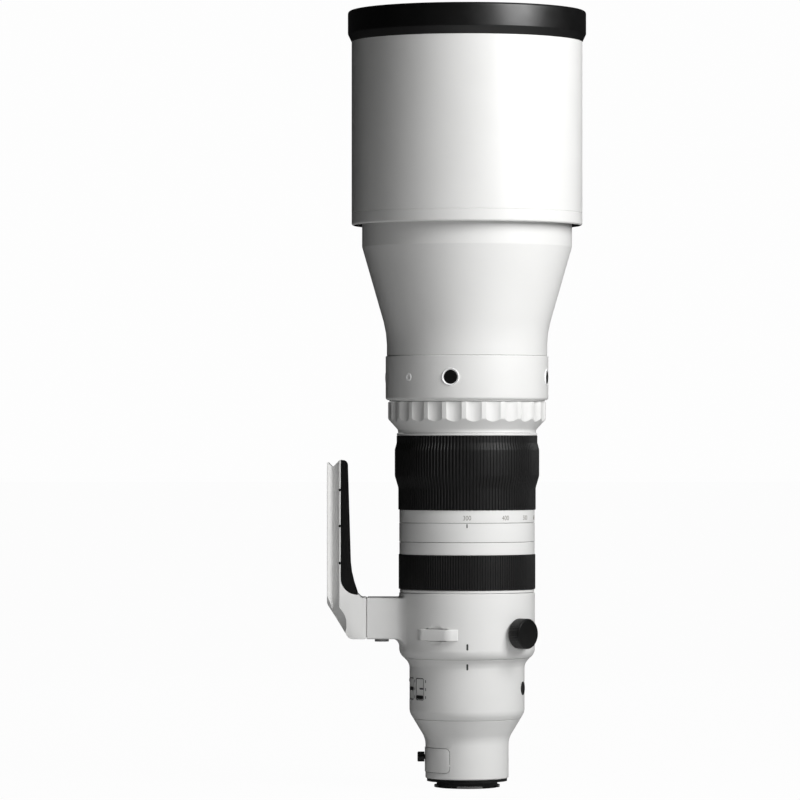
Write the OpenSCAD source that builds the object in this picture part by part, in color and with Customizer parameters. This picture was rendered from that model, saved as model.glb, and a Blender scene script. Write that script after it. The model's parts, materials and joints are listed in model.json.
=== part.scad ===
// Long white telephoto zoom lens, standing on its camera mount with its hood up.
// Millimetres, +Z towards the front of the lens. The origin is where the lens axis
// meets the mount face that touches the camera. The tripod foot is on the -X side.
// A view angle is counted about +Z from -Y, and grows towards +X.

/* [Camera mount] */
// Outer radius of the bayonet flange
flange_r = 30.6; // [30.2:0.1:31]
// Thickness of the bayonet flange
flange_t = 2.4; // [2:0.1:3]
// Radius of the neck that enters the camera
mount_neck_r = 24.2; // [23.9:0.1:24.6]
// Length of the neck behind the mount face
mount_neck_len = 5; // [4.4:0.1:6]
// Radius over the bayonet claws
claw_r = 26.1; // [25.6:0.1:26.3]
// Thickness of a claw along the axis
claw_t = 1.9; // [1.5:0.1:2.4]
// Angle that one claw spans
claw_span = 46; // [30:1:60]
// Radius of the clear hole through the mount
throat_r = 22; // [21:0.1:22.6]
// Number of mount screws
mount_screw_count = 6; // [4:1:8]
// Radius of the gasket round the flange
gasket_r = 31.9; // [31.6:0.1:32.2]

/* [Rear tube and filter holder] */
// Radius of the rear tube
tube_r = 33.1; // [32.6:0.1:34]
// Length of the rear tube, cone included
rear_tube_len = 47.4; // [45:0.1:52]
// Height at which the cone starts, above the flange
cone_start = 31.4; // [30:0.1:33]
// Rounding between the rear tube and its cone
cone_fillet = 15.5; // [8:0.5:18]
// Radius at the seam between the rear tube and the rear barrel
seam_r = 42.75; // [42:0.05:43.5]
// Radius of the hollow in the rear tube
cavity_r = 30.3; // [29.8:0.1:30.6]
// Height of the filter holder's cap
drawer_h = 19.4; // [17:0.1:21]
// Height of the cap's lower edge above the flange
drawer_z = 5.3; // [4.8:0.1:6.5]
// Distance from the lens axis to the cap's edges
drawer_edge = 13.7; // [12:0.1:15]
// How far the cap stands proud of the tube
drawer_proud = 0.5; // [0.2:0.1:1]
// Thickness of the frame that carries the filter
drawer_frame_t = 9.6; // [8:0.1:10.4]
// Radius of the round seat for the drop-in filter
filter_r = 20.25; // [19:0.05:21]
// Height of the filter holder's knob above the cap's lower edge
filter_knob_z = 11.6; // [10.6:0.1:12.4]
// Length of the knob's bar
filter_knob_len = 16; // [12:0.5:20]
// Width of the knob's bar
filter_knob_w = 7.5; // [6:0.1:9]
// How far the knob stands out from the lens axis
filter_knob_out = 39.4; // [38:0.1:42]

/* [Rear barrel] */
// Radius of the rear barrel
barrel_r = 45.8; // [45.2:0.1:46.4]
// Length of the rear barrel up to the collar seam
rear_barrel_len = 48.3; // [46:0.1:52]
// Wall of the rear barrel
barrel_wall = 2.2; // [2:0.1:2.3]
// How far the journal that the tripod collar turns on stands out from the rear barrel
journal_step = 0.7; // [0.5:0.1:1.2]
// Rounding of the two bends up to the collar
shoulder_fillet = 8.5; // [5:0.5:9]
// Slope of the shoulder up to the collar, in degrees from the axis
shoulder_slope = 46; // [40:1:50]
// Height of the shoulder's lower bend above the rear barrel's seam
shoulder_start = 44; // [43:0.1:45]
// Number of slide switches
switch_count = 4; // [4:1:4]
// View angle of the first switch
switch_angle = -55; // [-58:1:-52]
// Angle from one switch to the next
switch_pitch = 19; // [17:0.5:21]
// Width of a switch window
switch_w = 10.4; // [9:0.1:11]
// Height of a switch window
switch_h = 17.4; // [16:0.1:19]
// Middle of the switch windows above the rear barrel's seam
switch_z = 23.4; // [22:0.1:25]
// Height of a switch thumb
thumb_h = 3.8; // [3:0.1:4.5]
// View angle of the round button on the rear barrel
set_button_angle = 75.5; // [70:0.5:80]
// Radius of the round button on the rear barrel
set_button_r = 5.2; // [4.5:0.1:6]

/* [Tripod collar and foot] */
// How far the tripod collar stands out from the rear barrel
collar_step = 8.2; // [7.8:0.1:8.8]
// Length of the tripod collar
collar_len = 52.3; // [50:0.1:56]
// Height of the arm's underside above the collar seam
arm_z = 15.3; // [14:0.1:17]
// Height of the arm
arm_h = 32.8; // [31:0.1:34]
// Width of the arm and the foot
foot_w = 41.6; // [40:0.1:44]
// Rounding where the arm meets the collar, seen from the front of the lens
arm_fillet = 10; // [6:0.5:12]
// Distance from the lens axis to the seam between arm and foot
foot_seam = 79.6; // [78:0.1:81]
// Distance from the lens axis to the foot's outer face
foot_out = 111; // [109:0.1:114]
// Length of the foot along the lens
foot_len = 142.1; // [138:0.1:150]
// Distance from the lens axis to the back of the grip pad
pad_back = 100.1; // [99.5:0.1:101]
// Half width of the dovetail's lip
lip_half = 19; // [18.5:0.1:19.5]
// Half width at the bottom of the dovetail's groove
groove_half = 15.3; // [14.5:0.1:16]
// Depth of the dovetail's lip edge
lip_edge = 0.7; // [0.4:0.1:1.2]
// Radius of the larger tripod thread
large_thread_r = 4.76; // [4.7:0.01:4.8]
// Radius of the smaller tripod thread
small_thread_r = 3.175; // [3.1:0.005:3.25]
// Depth of the tripod thread nearest the heel
low_thread_depth = 8.5; // [8:0.1:8.8]
// Depth of the larger tripod thread
large_thread_depth = 10; // [9.7:0.1:10.2]
// Depth of the tripod thread nearest the foot's end
high_thread_depth = 9.2; // [9:0.1:9.5]
// View angle of the strap lug nearer the front of the picture
lug_angle = -27; // [-32:1:-24]
// Height of the strap lugs above the collar seam
lug_z = 19.6; // [18:0.1:21]
// How far a lug's flat outer face stands out from the collar
lug_proud = 3.2; // [2.8:0.1:4]
// Thickness of a lug's bar
lug_t = 2.6; // [2.2:0.1:2.8]
// Height of a lug's bar
lug_h = 9.6; // [8:0.1:11]
// Half width of a lug's flat outer face
lug_flat = 12; // [11:0.1:13]
// Depth of the strap hollow behind a lug, below the collar's surface
strap_depth = 5.2; // [4.8:0.1:5.4]
// View angle of the collar lock knob
lock_angle = 46.7; // [44:0.1:50]
// Height of the collar lock knob above the collar seam
lock_z = 20.4; // [19:0.1:24]
// Radius of the collar lock knob
lock_r = 12; // [10:0.1:13]
// Length of the collar lock knob
lock_len = 11.4; // [9:0.1:14]

/* [Focus ring and index band] */
// How far the main tube that the rings turn on stands out from the rear barrel
main_step = 4.7; // [4.4:0.1:5]
// Wall of the main tube
main_wall = 2.5; // [2.2:0.1:2.6]
// How far the fixed thin ring above the collar stands out from the main tube
stop_step = 3; // [2.5:0.1:3.5]
// Height of the fixed thin ring
stop_len = 2.1; // [1.8:0.1:3]
// Thickness of the focus ring's rubber
focus_rubber_t = 1.4; // [1.1:0.1:2]
// Height of the focus ring's rubber
focus_rubber_len = 27.7; // [25:0.1:31]
// Length of the focus ring
focus_len = 38; // [36:0.1:42]
// How far the smooth bands stand out from the main tube
smooth_step = 3.3; // [3.2:0.1:3.6]
// How far the seat of the rubber sleeves stands out from the main tube
sleeve_step = 2.5; // [2.3:0.1:2.7]
// Length of the fixed index band
index_len = 15.2; // [14:0.1:17]

/* [Zoom ring] */
// Length of the zoom ring
zoom_len = 70.8; // [69:0.1:75]
// Height of the number band
scale_len = 10.1; // [9:0.1:12]
// Thickness of the zoom rubber at its lower end
zoom_low_t = 1.7; // [1.3:0.1:2]
// Thickness of the zoom rubber's bulge
zoom_bulge_t = 4.5; // [4:0.1:5]
// Thickness of the zoom rubber at its upper end
zoom_high_t = 3; // [2.5:0.1:3.5]
// Height of the strip above the zoom rubber
zoom_strip_len = 1.7; // [1.2:0.1:2.5]
// Angle that the zoom ring turns
zoom_turn = 80.4; // [70:0.1:84]
// Travel of the variator lens group
variator_travel = 40; // [36:0.5:42]
// Travel of the compensator lens group
compensator_travel = 12; // [10:0.5:13]
// Radius of a cam roller
roller_r = 3; // [2.5:0.1:3.3]
// Space between the main tube's bore and the guide tube
guide_gap = 3.8; // [3.6:0.1:4]
// Wall of the guide tube
guide_wall = 2.8; // [2.4:0.1:3]
// Wall of the cam tube
cam_wall = 2.05; // [1.8:0.05:2.3]
// Length of the variator cell
variator_len = 26; // [22:0.5:28]
// Length of the compensator cell
compensator_len = 24; // [20:0.5:25]

/* [Function ring and button band] */
// Length of the section that holds the function ring
function_len = 26.4; // [25:0.1:29]
// How far the function ring stands out from the main tube
function_step = 12.3; // [11.9:0.1:12.7]
// How far the function ring's foot stands out from the main tube
function_low_step = 4.4; // [4:0.1:4.9]
// Height of the cylinder part of the function ring
function_grip_len = 13.5; // [12.5:0.1:14.5]
// Number of flutes round the function ring
flute_count = 25; // [20:1:28]
// Radius that cuts the flutes
flute_r = 12; // [10:0.5:14]
// Width of a flute
flute_w = 12.3; // [10:0.1:12.8]
// How far the button band stands out from the main tube
band_step = 14.25; // [13.9:0.05:14.7]
// Length of the button band
band_len = 35; // [33:0.1:38]
// Wall of the button band
band_wall = 2.4; // [2.2:0.1:2.6]
// Height of the round buttons above the band's lower edge
hold_z = 18.6; // [17:0.1:20]
// View angle of the first round button
hold_angle = -11.6; // [-15:0.1:-8]
// Radius of a round button
hold_r = 5.3; // [4.6:0.1:5.8]
// Radius over a button's bezel
bezel_r = 7.05; // [6.8:0.05:7.6]
// Travel of a button when pressed
button_travel = 1; // [0.6:0.1:1]

/* [Front barrel and lenses] */
// How far the neck steps in above the button band
neck_step = 0.95; // [0.5:0.05:1.4]
// Height of the bend between the neck and the cone
neck_len = 18.3; // [16:0.1:21]
// Rounding of that bend
neck_fillet = 65; // [40:1:75]
// Length from the button band to the front edge
front_len = 130; // [126:0.5:136]
// Length of the straight front part
front_straight = 43.2; // [41:0.1:46]
// Wall of the front barrel
front_wall = 2.6; // [2.2:0.1:3]
// Radius of the front glass
front_glass_r = 78; // [77.5:0.1:78.3]
// Edge thickness of the front glass
front_glass_edge = 8; // [6:0.1:9]
// Wall of the front cell round its glass
front_cell_wall = 2.75; // [2.4:0.05:3.2]

/* [Hood] */
// Distance from the front barrel to the hood's outer face
hood_step = 8.3; // [7.8:0.1:9]
// Wall of the hood
hood_wall = 2; // [1.6:0.1:2.6]
// Length of the hood, rim included
hood_len = 171.5; // [160:0.5:180]
// How far the hood reaches back over the front barrel
hood_overlap = 26.1; // [24:0.1:30]
// How far the rubber rim stands out from the hood
rim_proud = 3; // [2.4:0.1:4]
// Height of the rubber rim
rim_len = 25.8; // [22:0.1:30]
// Height of the seam line above the hood's lower edge
hood_seam = 10.5; // [9:0.1:12]

/* [Inner optics] */
// Space between the rear barrel's bore and the chassis tube
board_space = 7.6; // [7.1:0.1:8.1]
// Wall of the chassis tube
chassis_wall = 2; // [1.6:0.1:2.2]
// Length of the rear lens cell
relay_len = 26; // [24:0.5:28]
// Sideways travel of the stabiliser from its middle
shift_travel = 1; // [0.5:0.1:1.2]
// Length of the focus rails
rail_len = 44; // [43:0.5:47]
// Length of the focus cell
focus_cell_len = 14; // [12:0.5:15]
// Travel of the focus cell
focus_travel = 24; // [20:0.5:24]
// Number of iris blades
blade_count = 11; // [9:1:11]

/* [Hidden] */
$fn = 96;

// Clearances: a turning or sliding fit, a fixed seat, and open room between moving pieces
run_gap = 0.05;
seat_gap = 0.05;
free_gap = 0.3;
// Overlap that joins the shapes of one piece, and the reach of a cut past its faces
join = 0.5;
past = 1;
// Largest turn of one straight step on a rounded corner
arc_step = 15;

// Heights of the seams between the sections
z_tube = flange_t;
z_barrel = z_tube + rear_tube_len;
z_collar = z_barrel + rear_barrel_len;
z_stop = z_collar + collar_len;
z_focus = z_stop + stop_len;
z_index = z_focus + focus_len;
z_zoom = z_index + index_len;
z_function = z_zoom + zoom_len;
z_band = z_function + function_len;
z_neck = z_band + band_len;
z_end = z_neck + front_len;
z_cone_top = z_end - front_straight;
z_neck_bend = z_neck + neck_len;
z_hood = z_end - hood_overlap;
z_hood_top = z_hood + hood_len;

// Mount
relief_r = claw_r + 0.5;
relief_t = 0.4;
mount_screw_r = 0.8;
mount_screw_head_r = 1.5;
mount_screw_len = 6;
mount_screw_ring_r = (relief_r + flange_r) / 2;
claw_count = 4;
claw_angle = -85;
contact_count = 10;
contact_ring_r = 17.5;
contact_pitch = 8.4;
contact_r = 0.65;
contact_proud = 0.25;
window_x = 23;
window_y = 31;
block_t = 3.4;

// Rear tube: the cone's inner line runs beside its outer line
z_cone = z_tube + cone_start;
cone_grade = (seam_r - tube_r) / (z_barrel - z_cone);
tube_floor = 3.2;
seam_wall = 2.75;
drawer_low = z_tube + drawer_z;
drawer_corner = 3.5;
drawer_gap = 0.15;
z_filter_knob = drawer_low + filter_knob_z;
frame_low = z_filter_knob - drawer_frame_t / 2 - 0.9;
frame_r = 25;
rail_side = 22;
rail_t = 2.4;
filter_lip = 1.4;
filter_glass_t = 2;
filter_shaft_r = 2;
filter_shaft_len = 6.5;

// Rear barrel
barrel_in_r = barrel_r - barrel_wall;
journal_r = barrel_r + journal_step;
collar_r = barrel_r + collar_step;
lug_out = collar_r + lug_proud;
z_barrel_bend = z_barrel + (barrel_r - seam_r) / cone_grade;
barrel_fillet = 9;
z_shoulder = z_barrel + shoulder_start;
z_shoulder_top = z_shoulder + (collar_r - barrel_r) / tan(shoulder_slope);
lip_t = 2.2;
seam_bevel = 0.35;
z_switch = z_barrel + switch_z;
switch_floor = barrel_r - 1.35;
switch_slot_w = 3.6;
switch_stem_h = 2.4;
switch_plate = 8;
switch_plate_t = 1.2;
thumb_proud = 0.6;
switch_reach = (switch_h - thumb_h) / 2 - free_gap;
switch_rest = [-1, 0, 1, -1];
z_set_button = z_switch;
button_collar = 1;
button_collar_t = 1.4;
set_button_back = barrel_in_r - 3;

// Chassis and the optical units inside it
z_chassis = z_barrel + lip_t;
chassis_r = barrel_in_r - board_space;
chassis_in_r = chassis_r - chassis_wall;
chassis_flange_t = 2;
board_t = 1.6;
z_relay = z_chassis + 2;
relay_glass_r = chassis_in_r - 7;
z_stab = z_relay + relay_len + 3;
stab_base_t = 3;
stab_hole_r = 20;
stab_leg = chassis_in_r - 12;
stab_leg_back = 12;
stab_leg_r = 1;
stab_boss = 5;
stab_boss_place = 8;
stab_cell_r = chassis_in_r - 6;
stab_cell_len = 9;
stab_glass_r = 17.5;
z_stab_shaft = z_stab + stab_base_t + stab_boss / 2 + 0.2;
z_stab_cell = z_stab_shaft + stab_boss / 2 + 0.5;
z_rail = z_stab_cell + stab_cell_len + 2;
rail_ring_t = 2;
rail_ring_in = chassis_in_r - 6.5;
rail_place = chassis_in_r - 3.2;
rail_r = 1.5;
magnet_w = 12;
magnet_t = 2.4;
focus_cell_r = rail_place - 4.3;
focus_glass_r = focus_cell_r - 3;
z_focus_cell = z_rail + rail_ring_t + free_gap;
z_iris = z_rail + rail_len;
iris_t = 7;
iris_open_r = focus_glass_r;
blade_out_r = chassis_in_r - 3;
blade_t = 0.2;
z_chassis_top = z_iris + iris_t;

// Guide tube and cam tube
main_r = barrel_r + main_step;
main_in_r = main_r - main_wall;
guide_r = main_in_r - guide_gap;
guide_in_r = guide_r - guide_wall;
cam_in_r = guide_r + run_gap;
cam_r = cam_in_r + cam_wall;
z_guide = z_chassis_top + 2;
z_guide_top = z_band - 3;
guide_flange_t = 3;
z_compensator = z_guide + 17.5;
z_variator = z_guide_top - variator_len - 12;
roller_angle = 30;
slot_gap = 0.25;
pin_r = 1.5;
pin_depth = 4.5;
key_w = 8;
key_h = 8;
z_key = z_zoom + 6;
key_angle = 180;
key_out = main_r + 2.2;
z_compensator_roller = z_compensator + compensator_len / 2;
z_variator_roller = z_variator + variator_len / 2;

// Rings
ring_gap = 0.3;
ring_bore = main_r + run_gap;
stop_r = main_r + stop_step;
smooth_r = main_r + smooth_step;
sleeve_r = main_r + sleeve_step;
focus_rubber_r = sleeve_r + focus_rubber_t;
zoom_low_r = sleeve_r + zoom_low_t;
zoom_bulge_r = sleeve_r + zoom_bulge_t;
zoom_high_r = sleeve_r + zoom_high_t;
zoom_foot_len = 17.4;
zoom_rise_len = 9.6;
zoom_bulge_len = 20.7;
zoom_fall_len = 5.5;
function_strip = 2.4;
function_bearing = 8;
function_hollow_r = main_r + 3.5;
function_r = main_r + function_step;
function_low_r = main_r + function_low_step;
band_r = main_r + band_step;
flute_centre = sqrt(pow(function_r, 2) - pow(flute_w / 2, 2)) + sqrt(pow(flute_r, 2) - pow(flute_w / 2, 2));

// Button band and its buttons
web_t = 3;
band_round = 2.2;
z_hold = z_band + hold_z;
bezel_proud = 0.4;
board_inset = 4.75;
board_r = band_r - band_wall - board_inset;
board_wall = 1;
board_h = 23;
dome_r = 3;
dome_h = 1.1;
hold_back = band_r - band_wall - 2.45;

// Front barrel and its glass
neck_r = band_r - neck_step;
front_cell_gap = 0.1;
front_cell_r = front_glass_r + seat_gap + front_cell_wall;
front_r = front_cell_r + front_cell_gap + front_wall;
front_cell_top = 4.4;
front_grade = (front_r - neck_r) / (z_cone_top - z_neck_bend);
z_front_glass = z_end - 26.9;
z_second_glass = z_front_glass - 17;
z_third_glass = z_second_glass - 22;
z_front_cell = z_third_glass - 4;
front_cell_low_r = front_cell_r - (z_cone_top - z_front_cell) * front_grade - 0.3;
third_glass_r = front_cell_low_r - front_cell_wall - seat_gap;
second_glass_r = (front_glass_r + third_glass_r) / 2;
retainer_t = 5;
retainer_in_r = front_glass_r - 5;
front_bulge = 7;

// Hood
hood_r = front_r + hood_step;
rim_r = hood_r + rim_proud;
hood_land_r = front_r + free_gap;
hood_land_wall = 2.2;
hood_web_z = 3;
hood_web_t = 5;
hood_land_len = 24;
rim_chamfer = 6.5;
rim_lip = 1.2;
z_rim = z_hood_top - rim_len;
hood_screw_z = 14.5;
hood_screw_r = 6.5;
hood_screw_len = 8;
hood_screw_shaft_r = 2;

// Tripod collar, arm and foot
arm_low = z_collar + arm_z;
arm_top = arm_low + arm_h;
foot_top = arm_low + foot_len;
foot_half = foot_w / 2;
heel_in = 93.3;
heel_rise = 27.9;
foot_seam_gap = 0.15;
under_fillet = 6.5;
groove_z = arm_low + heel_rise + 2;
foot_edge = 0.8;
pad_top_x = 95.3;
pad_low_x = 91.9;
pad_end_x = 86.5;
pad_bend_z = 51.6;
pad_end_z = 35.25;
pad_round = 13;
pad_gap = 0.05;
nub_x = 67.8;
nub_r = 5.6;
nub_h = 2.5;
nub_shank_r = 3;
nub_shank_len = 20;
bolt_r = 2.5;
bolt_head_r = 4;
bolt_head_x = 92;
bolt_head_len = 5;
bolt_tip_x = 66;
bolt_place = 9;
bolt_z = [10, 22];
thread_pitch_z = [52, 80, 108];
thread_depths = [low_thread_depth, large_thread_depth, high_thread_depth];
scoop_r = 14;
pocket_w = 20;
pocket_h = 11;
lug_end_angle = 19.3;
lock_seat = 1;
lock_shaft_r = 3;
lock_shaft_in = 0.8;

// Direction from b to a
function unit(v) = v / norm(v);
// The same angle, between -180 and 180
function wrapped(a) = a > 180 ? a - 360 : a < -180 ? a + 360 : a;
// Points of the arc that rounds corner b between a and c
function corner(a, b, c, radius) =
    let (u = unit(a - b), v = unit(c - b), open = acos(u * v))
    radius <= 0 || open > 179.5 ? [b] :
    let (centre = b + unit(u + v) * radius / sin(open / 2),
         tangent = radius / tan(open / 2),
         first = b + u * tangent - centre,
         last = b + v * tangent - centre,
         start = atan2(first.y, first.x),
         sweep = wrapped(atan2(last.y, last.x) - start),
         steps = ceil(abs(sweep) / arc_step))
    [for (i = [0 : steps])
        let (a = start + sweep * i / steps) centre + radius * [cos(a), sin(a)]];
// A closed outline from [x, y] or [x, y, rounding] corners
function rounded(path) =
    let (n = len(path), p = [for (q = path) [q[0], q[1]]])
    [for (i = [0 : n - 1])
        each corner(p[(i + n - 1) % n], p[i], p[(i + 1) % n], len(path[i]) > 2 ? path[i][2] : 0)];

// A turned shape from [radius, height, rounding] corners
module turned(path) {
    rotate_extrude() polygon(rounded(path));
}

// A plain ring
module ring(outer, inner, z, h) {
    translate([0, 0, z]) difference() {
        cylinder(r = outer, h = h);
        translate([0, 0, -past]) cylinder(r = inner, h = h + 2 * past);
    }
}

// A wedge about the lens axis from one plane angle to another, less than a half turn wide
module wedge(from, to, reach, z, h) {
    far = reach / cos((to - from) / 2) + past;
    translate([0, 0, z]) linear_extrude(h)
        polygon([[0, 0], far * [cos(from), sin(from)], far * [cos(to), sin(to)]]);
}

// Turns +X to point outwards at a view angle
module facing(angle) {
    rotate([0, 0, angle - 90]) children();
}

// A round peg along local X
module peg(r, from, to, z, y = 0) {
    translate([from, y, z]) rotate([0, 90, 0]) cylinder(r = r, h = to - from);
}

// A bar along local X between two heights and two sides
module block(from, to, half_w, low, high) {
    translate([from, -half_w, low]) cube([to - from, 2 * half_w, high - low]);
}

// A rectangle with round corners, centred
module round_rect(w, h, r) {
    square([w, h - 2 * r], center = true);
    square([w - 2 * r, h], center = true);
    for (x = [-1, 1], y = [-1, 1])
        translate([x * (w / 2 - r), y * (h / 2 - r)]) circle(r = r);
}

// Points of a lens face from its edge at [r, z] to the middle, where it is h higher
function lens_face(r, h, z) =
    let (ball = (r * r + h * h) / (2 * abs(h)), reach = asin(r / ball), steps = 8)
    [for (i = [0 : steps])
        let (a = reach * (1 - i / steps)) [ball * sin(a), z + sign(h) * (abs(h) - ball + ball * cos(a))]];

// A glass element: a positive bulge is convex and a negative one is hollow
module element(r, edge, front, back, z) {
    rim = 1.5;
    front_face = lens_face(front > 0 ? r : r - rim, front, z + edge);
    back_face = lens_face(back > 0 ? r : r - rim, -back, z);
    rotate_extrude() polygon(concat(
        [for (i = [0 : len(back_face) - 1]) back_face[len(back_face) - 1 - i]],
        [[r, z], [r, z + edge]], front_face));
}

// A turned cell with a step for glass and a lip below it
module lens_cell(outer, glass_r, z, length, lip) {
    ring(outer, glass_r + seat_gap, z, length);
    ring(glass_r + seat_gap + join, glass_r - lip, z, lip);
}

// Camera mount

module bayonet_mount() color("silver") {
    difference() {
        union() {
            ring(flange_r, throat_r, 0, flange_t);
            ring(mount_neck_r, throat_r, -mount_neck_len, mount_neck_len + flange_t);
            for (i = [0 : claw_count - 1])
                facing(claw_angle + 360 / claw_count * i) intersection() {
                    ring(claw_r, mount_neck_r - join, -mount_neck_len + 0.3, claw_t);
                    wedge(-claw_span / 2, claw_span / 2, claw_r, -mount_neck_len, mount_neck_len);
                }
        }
        ring(relief_r, mount_neck_r, -past, relief_t + past);
        mount_screw_places(mount_screw_r + seat_gap, mount_screw_head_r + seat_gap);
    }
}

// One screw shape at each place, used for the holes and for the screws themselves
module mount_screw_places(shank, head) {
    countersink = head - shank;
    for (i = [0 : mount_screw_count - 1])
        facing(360 / mount_screw_count * i) translate([mount_screw_ring_r, 0, 0]) {
            translate([0, 0, 0.1]) cylinder(r = shank, h = mount_screw_len);
            translate([0, 0, 0.1 + 0.5]) cylinder(r1 = head, r2 = shank, h = countersink);
            translate([0, 0, 0.1]) cylinder(r = head, h = 0.5);
            if (head > mount_screw_head_r) translate([0, 0, -past]) cylinder(r = head, h = past + 0.3);
        }
}

module mount_screws() color("dimgray") {
    slot_w = 0.5;
    difference() {
        mount_screw_places(mount_screw_r, mount_screw_head_r);
        for (i = [0 : mount_screw_count - 1])
            facing(360 / mount_screw_count * i) translate([mount_screw_ring_r, 0, 0])
                for (turn = [0, 90]) rotate([0, 0, turn])
                    cube([1.8, slot_w, 1.2], center = true);
    }
}

module mount_gasket() color("black") {
    ring(gasket_r, flange_r + seat_gap, 0.15, flange_t - 0.15);
}

module contact_block() color([0.08, 0.08, 0.08]) {
    low = -mount_neck_len + 0.6;
    difference() {
        ring(throat_r - seat_gap, 0.1, low, block_t);
        translate([0, 0, low - past]) linear_extrude(block_t + 2 * past) round_rect(window_x, window_y, 3);
        contact_places(contact_r + seat_gap, low - past, block_t + 2 * past);
    }
}

module contact_places(r, z, h) {
    half = (contact_count - 1) / 2;
    for (i = [0 : contact_count - 1])
        facing(-90 + contact_pitch * (i - half)) translate([contact_ring_r, 0, z]) cylinder(r = r, h = h);
}

module contact_pins() color("gold") {
    contact_places(contact_r, -mount_neck_len + 0.6 - contact_proud, block_t + contact_proud);
}

// Rear tube and drop-in filter holder

// The opening for the filter holder, or the holder's own outline when it is shrunk
module drawer_outline(shrink) {
    reach = tube_r + 8 - drawer_edge;
    translate([-drawer_edge - reach / 2, 0, drawer_low + drawer_h / 2])
        rotate([90, 0, 0]) linear_extrude(3 * tube_r, center = true)
            round_rect(reach - 2 * shrink, drawer_h - 2 * shrink, drawer_corner - shrink);
}

module rear_tube() color("whitesmoke") {
    inner_seam = seam_r - seam_wall;
    difference() {
        turned([
            [throat_r, z_tube], [tube_r, z_tube, 1.2], [tube_r, z_cone, cone_fillet],
            [seam_r, z_barrel, seam_bevel], [inner_seam, z_barrel],
            [cavity_r, z_barrel - (inner_seam - cavity_r) / cone_grade], [cavity_r, z_tube + tube_floor],
            [throat_r, z_tube + tube_floor]
        ]);
        drawer_outline(0);
        mount_screw_places(mount_screw_r + seat_gap, mount_screw_head_r);
    }
    for (side = [-1, 1], row = [0, 1]) intersection() {
        translate([-drawer_edge, side * (rail_side + 5), 0])
            translate([0, -5, row == 0 ? frame_low - rail_t - drawer_gap : frame_low + drawer_frame_t + drawer_gap])
                cube([2 * drawer_edge + 6, 10, rail_t]);
        cylinder(r = cavity_r + join, h = z_cone);
    }
}

module filter_drawer() color("whitesmoke") {
    difference() {
        union() {
            intersection() {
                ring(tube_r + drawer_proud, cavity_r + 0.4, 0, z_cone);
                drawer_outline(drawer_gap);
            }
            intersection() {
                union() {
                    translate([0, 0, frame_low]) cylinder(r = frame_r, h = drawer_frame_t);
                    block(-tube_r, 0, frame_r, frame_low, frame_low + drawer_frame_t);
                }
                cylinder(r = cavity_r + 0.4 + join, h = z_cone);
            }
        }
        translate([0, 0, frame_low + filter_lip]) cylinder(r = filter_r, h = drawer_frame_t);
        translate([0, 0, frame_low - past]) cylinder(r = filter_r - filter_lip, h = drawer_frame_t);
        peg(filter_shaft_r + run_gap, -tube_r - 2, -tube_r + filter_shaft_len + 0.4, z_filter_knob);
    }
}

module rear_filter() color([0.75, 0.85, 0.85, 0.4]) {
    translate([0, 0, frame_low + filter_lip]) cylinder(r = filter_r - seat_gap, h = filter_glass_t);
}

module filter_knob() color([0.07, 0.07, 0.07]) {
    inner = tube_r + drawer_proud + 0.25;
    translate([-filter_knob_out, 0, z_filter_knob]) rotate([90, 0, 90])
        linear_extrude(filter_knob_out - inner) round_rect(filter_knob_len, filter_knob_w, filter_knob_w / 2 - 0.01);
    peg(filter_shaft_r, -inner - join, -tube_r + filter_shaft_len, z_filter_knob);
}

// Rear barrel with its switches and button

module rear_barrel() color("whitesmoke") {
    seam = barrel_r + (z_collar - z_shoulder) * tan(shoulder_slope);
    difference() {
        turned([
            [seam_r - seam_wall, z_barrel], [seam_r, z_barrel, seam_bevel], [barrel_r, z_barrel_bend, barrel_fillet],
            [barrel_r, z_shoulder, shoulder_fillet], [seam, z_collar, seam_bevel], [journal_r, z_collar],
            [journal_r, z_stop], [barrel_in_r, z_stop], [barrel_in_r, z_chassis], [seam_r - seam_wall, z_chassis]
        ]);
        for (i = [0 : switch_count - 1]) facing(switch_angle - switch_pitch * i) {
            translate([switch_floor, 0, z_switch]) rotate([90, 0, 90])
                linear_extrude(5) round_rect(switch_w, switch_h, 1.2);
            block(barrel_in_r - 2, barrel_r, switch_slot_w / 2,
                z_switch - switch_reach - switch_stem_h / 2 - free_gap,
                z_switch + switch_reach + switch_stem_h / 2 + free_gap);
        }
        facing(set_button_angle) peg(set_button_r + free_gap, barrel_in_r - 3, barrel_r + 3, z_set_button);
    }
}

// One slide switch at its rest position
module slide_switch(i) color([0.07, 0.07, 0.07]) {
    plate_out = sqrt(pow(barrel_in_r, 2) - pow(switch_plate / 2, 2)) - 0.1;
    facing(switch_angle - switch_pitch * i) translate([0, 0, z_switch + switch_reach * switch_rest[i]]) {
        translate([switch_floor + 0.1, 0, 0]) rotate([90, 0, 90])
            linear_extrude(barrel_r + thumb_proud - switch_floor - 0.1) round_rect(switch_w - 0.8, thumb_h, 0.6);
        block(plate_out - join, switch_floor + join, switch_slot_w / 2 - 0.15, -switch_stem_h / 2, switch_stem_h / 2);
        block(plate_out - switch_plate_t, plate_out, switch_plate / 2, -switch_plate / 2, switch_plate / 2);
    }
}

module focus_set_button() color([0.07, 0.07, 0.07]) {
    collar = set_button_r + button_collar;
    collar_out = sqrt(pow(barrel_in_r, 2) - pow(collar, 2)) - 0.1;
    facing(set_button_angle) {
        peg(set_button_r, collar_out - join, barrel_r + 0.5, z_set_button);
        peg(collar, collar_out - button_collar_t, collar_out, z_set_button);
    }
}

// Chassis, circuit board and the optical units behind the zoom section

module chassis_tube() color([0.15, 0.15, 0.16]) {
    ring(chassis_r, chassis_in_r, z_chassis, z_chassis_top - z_chassis);
    ring(barrel_in_r - seat_gap, chassis_in_r, z_chassis, chassis_flange_t);
}

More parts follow.
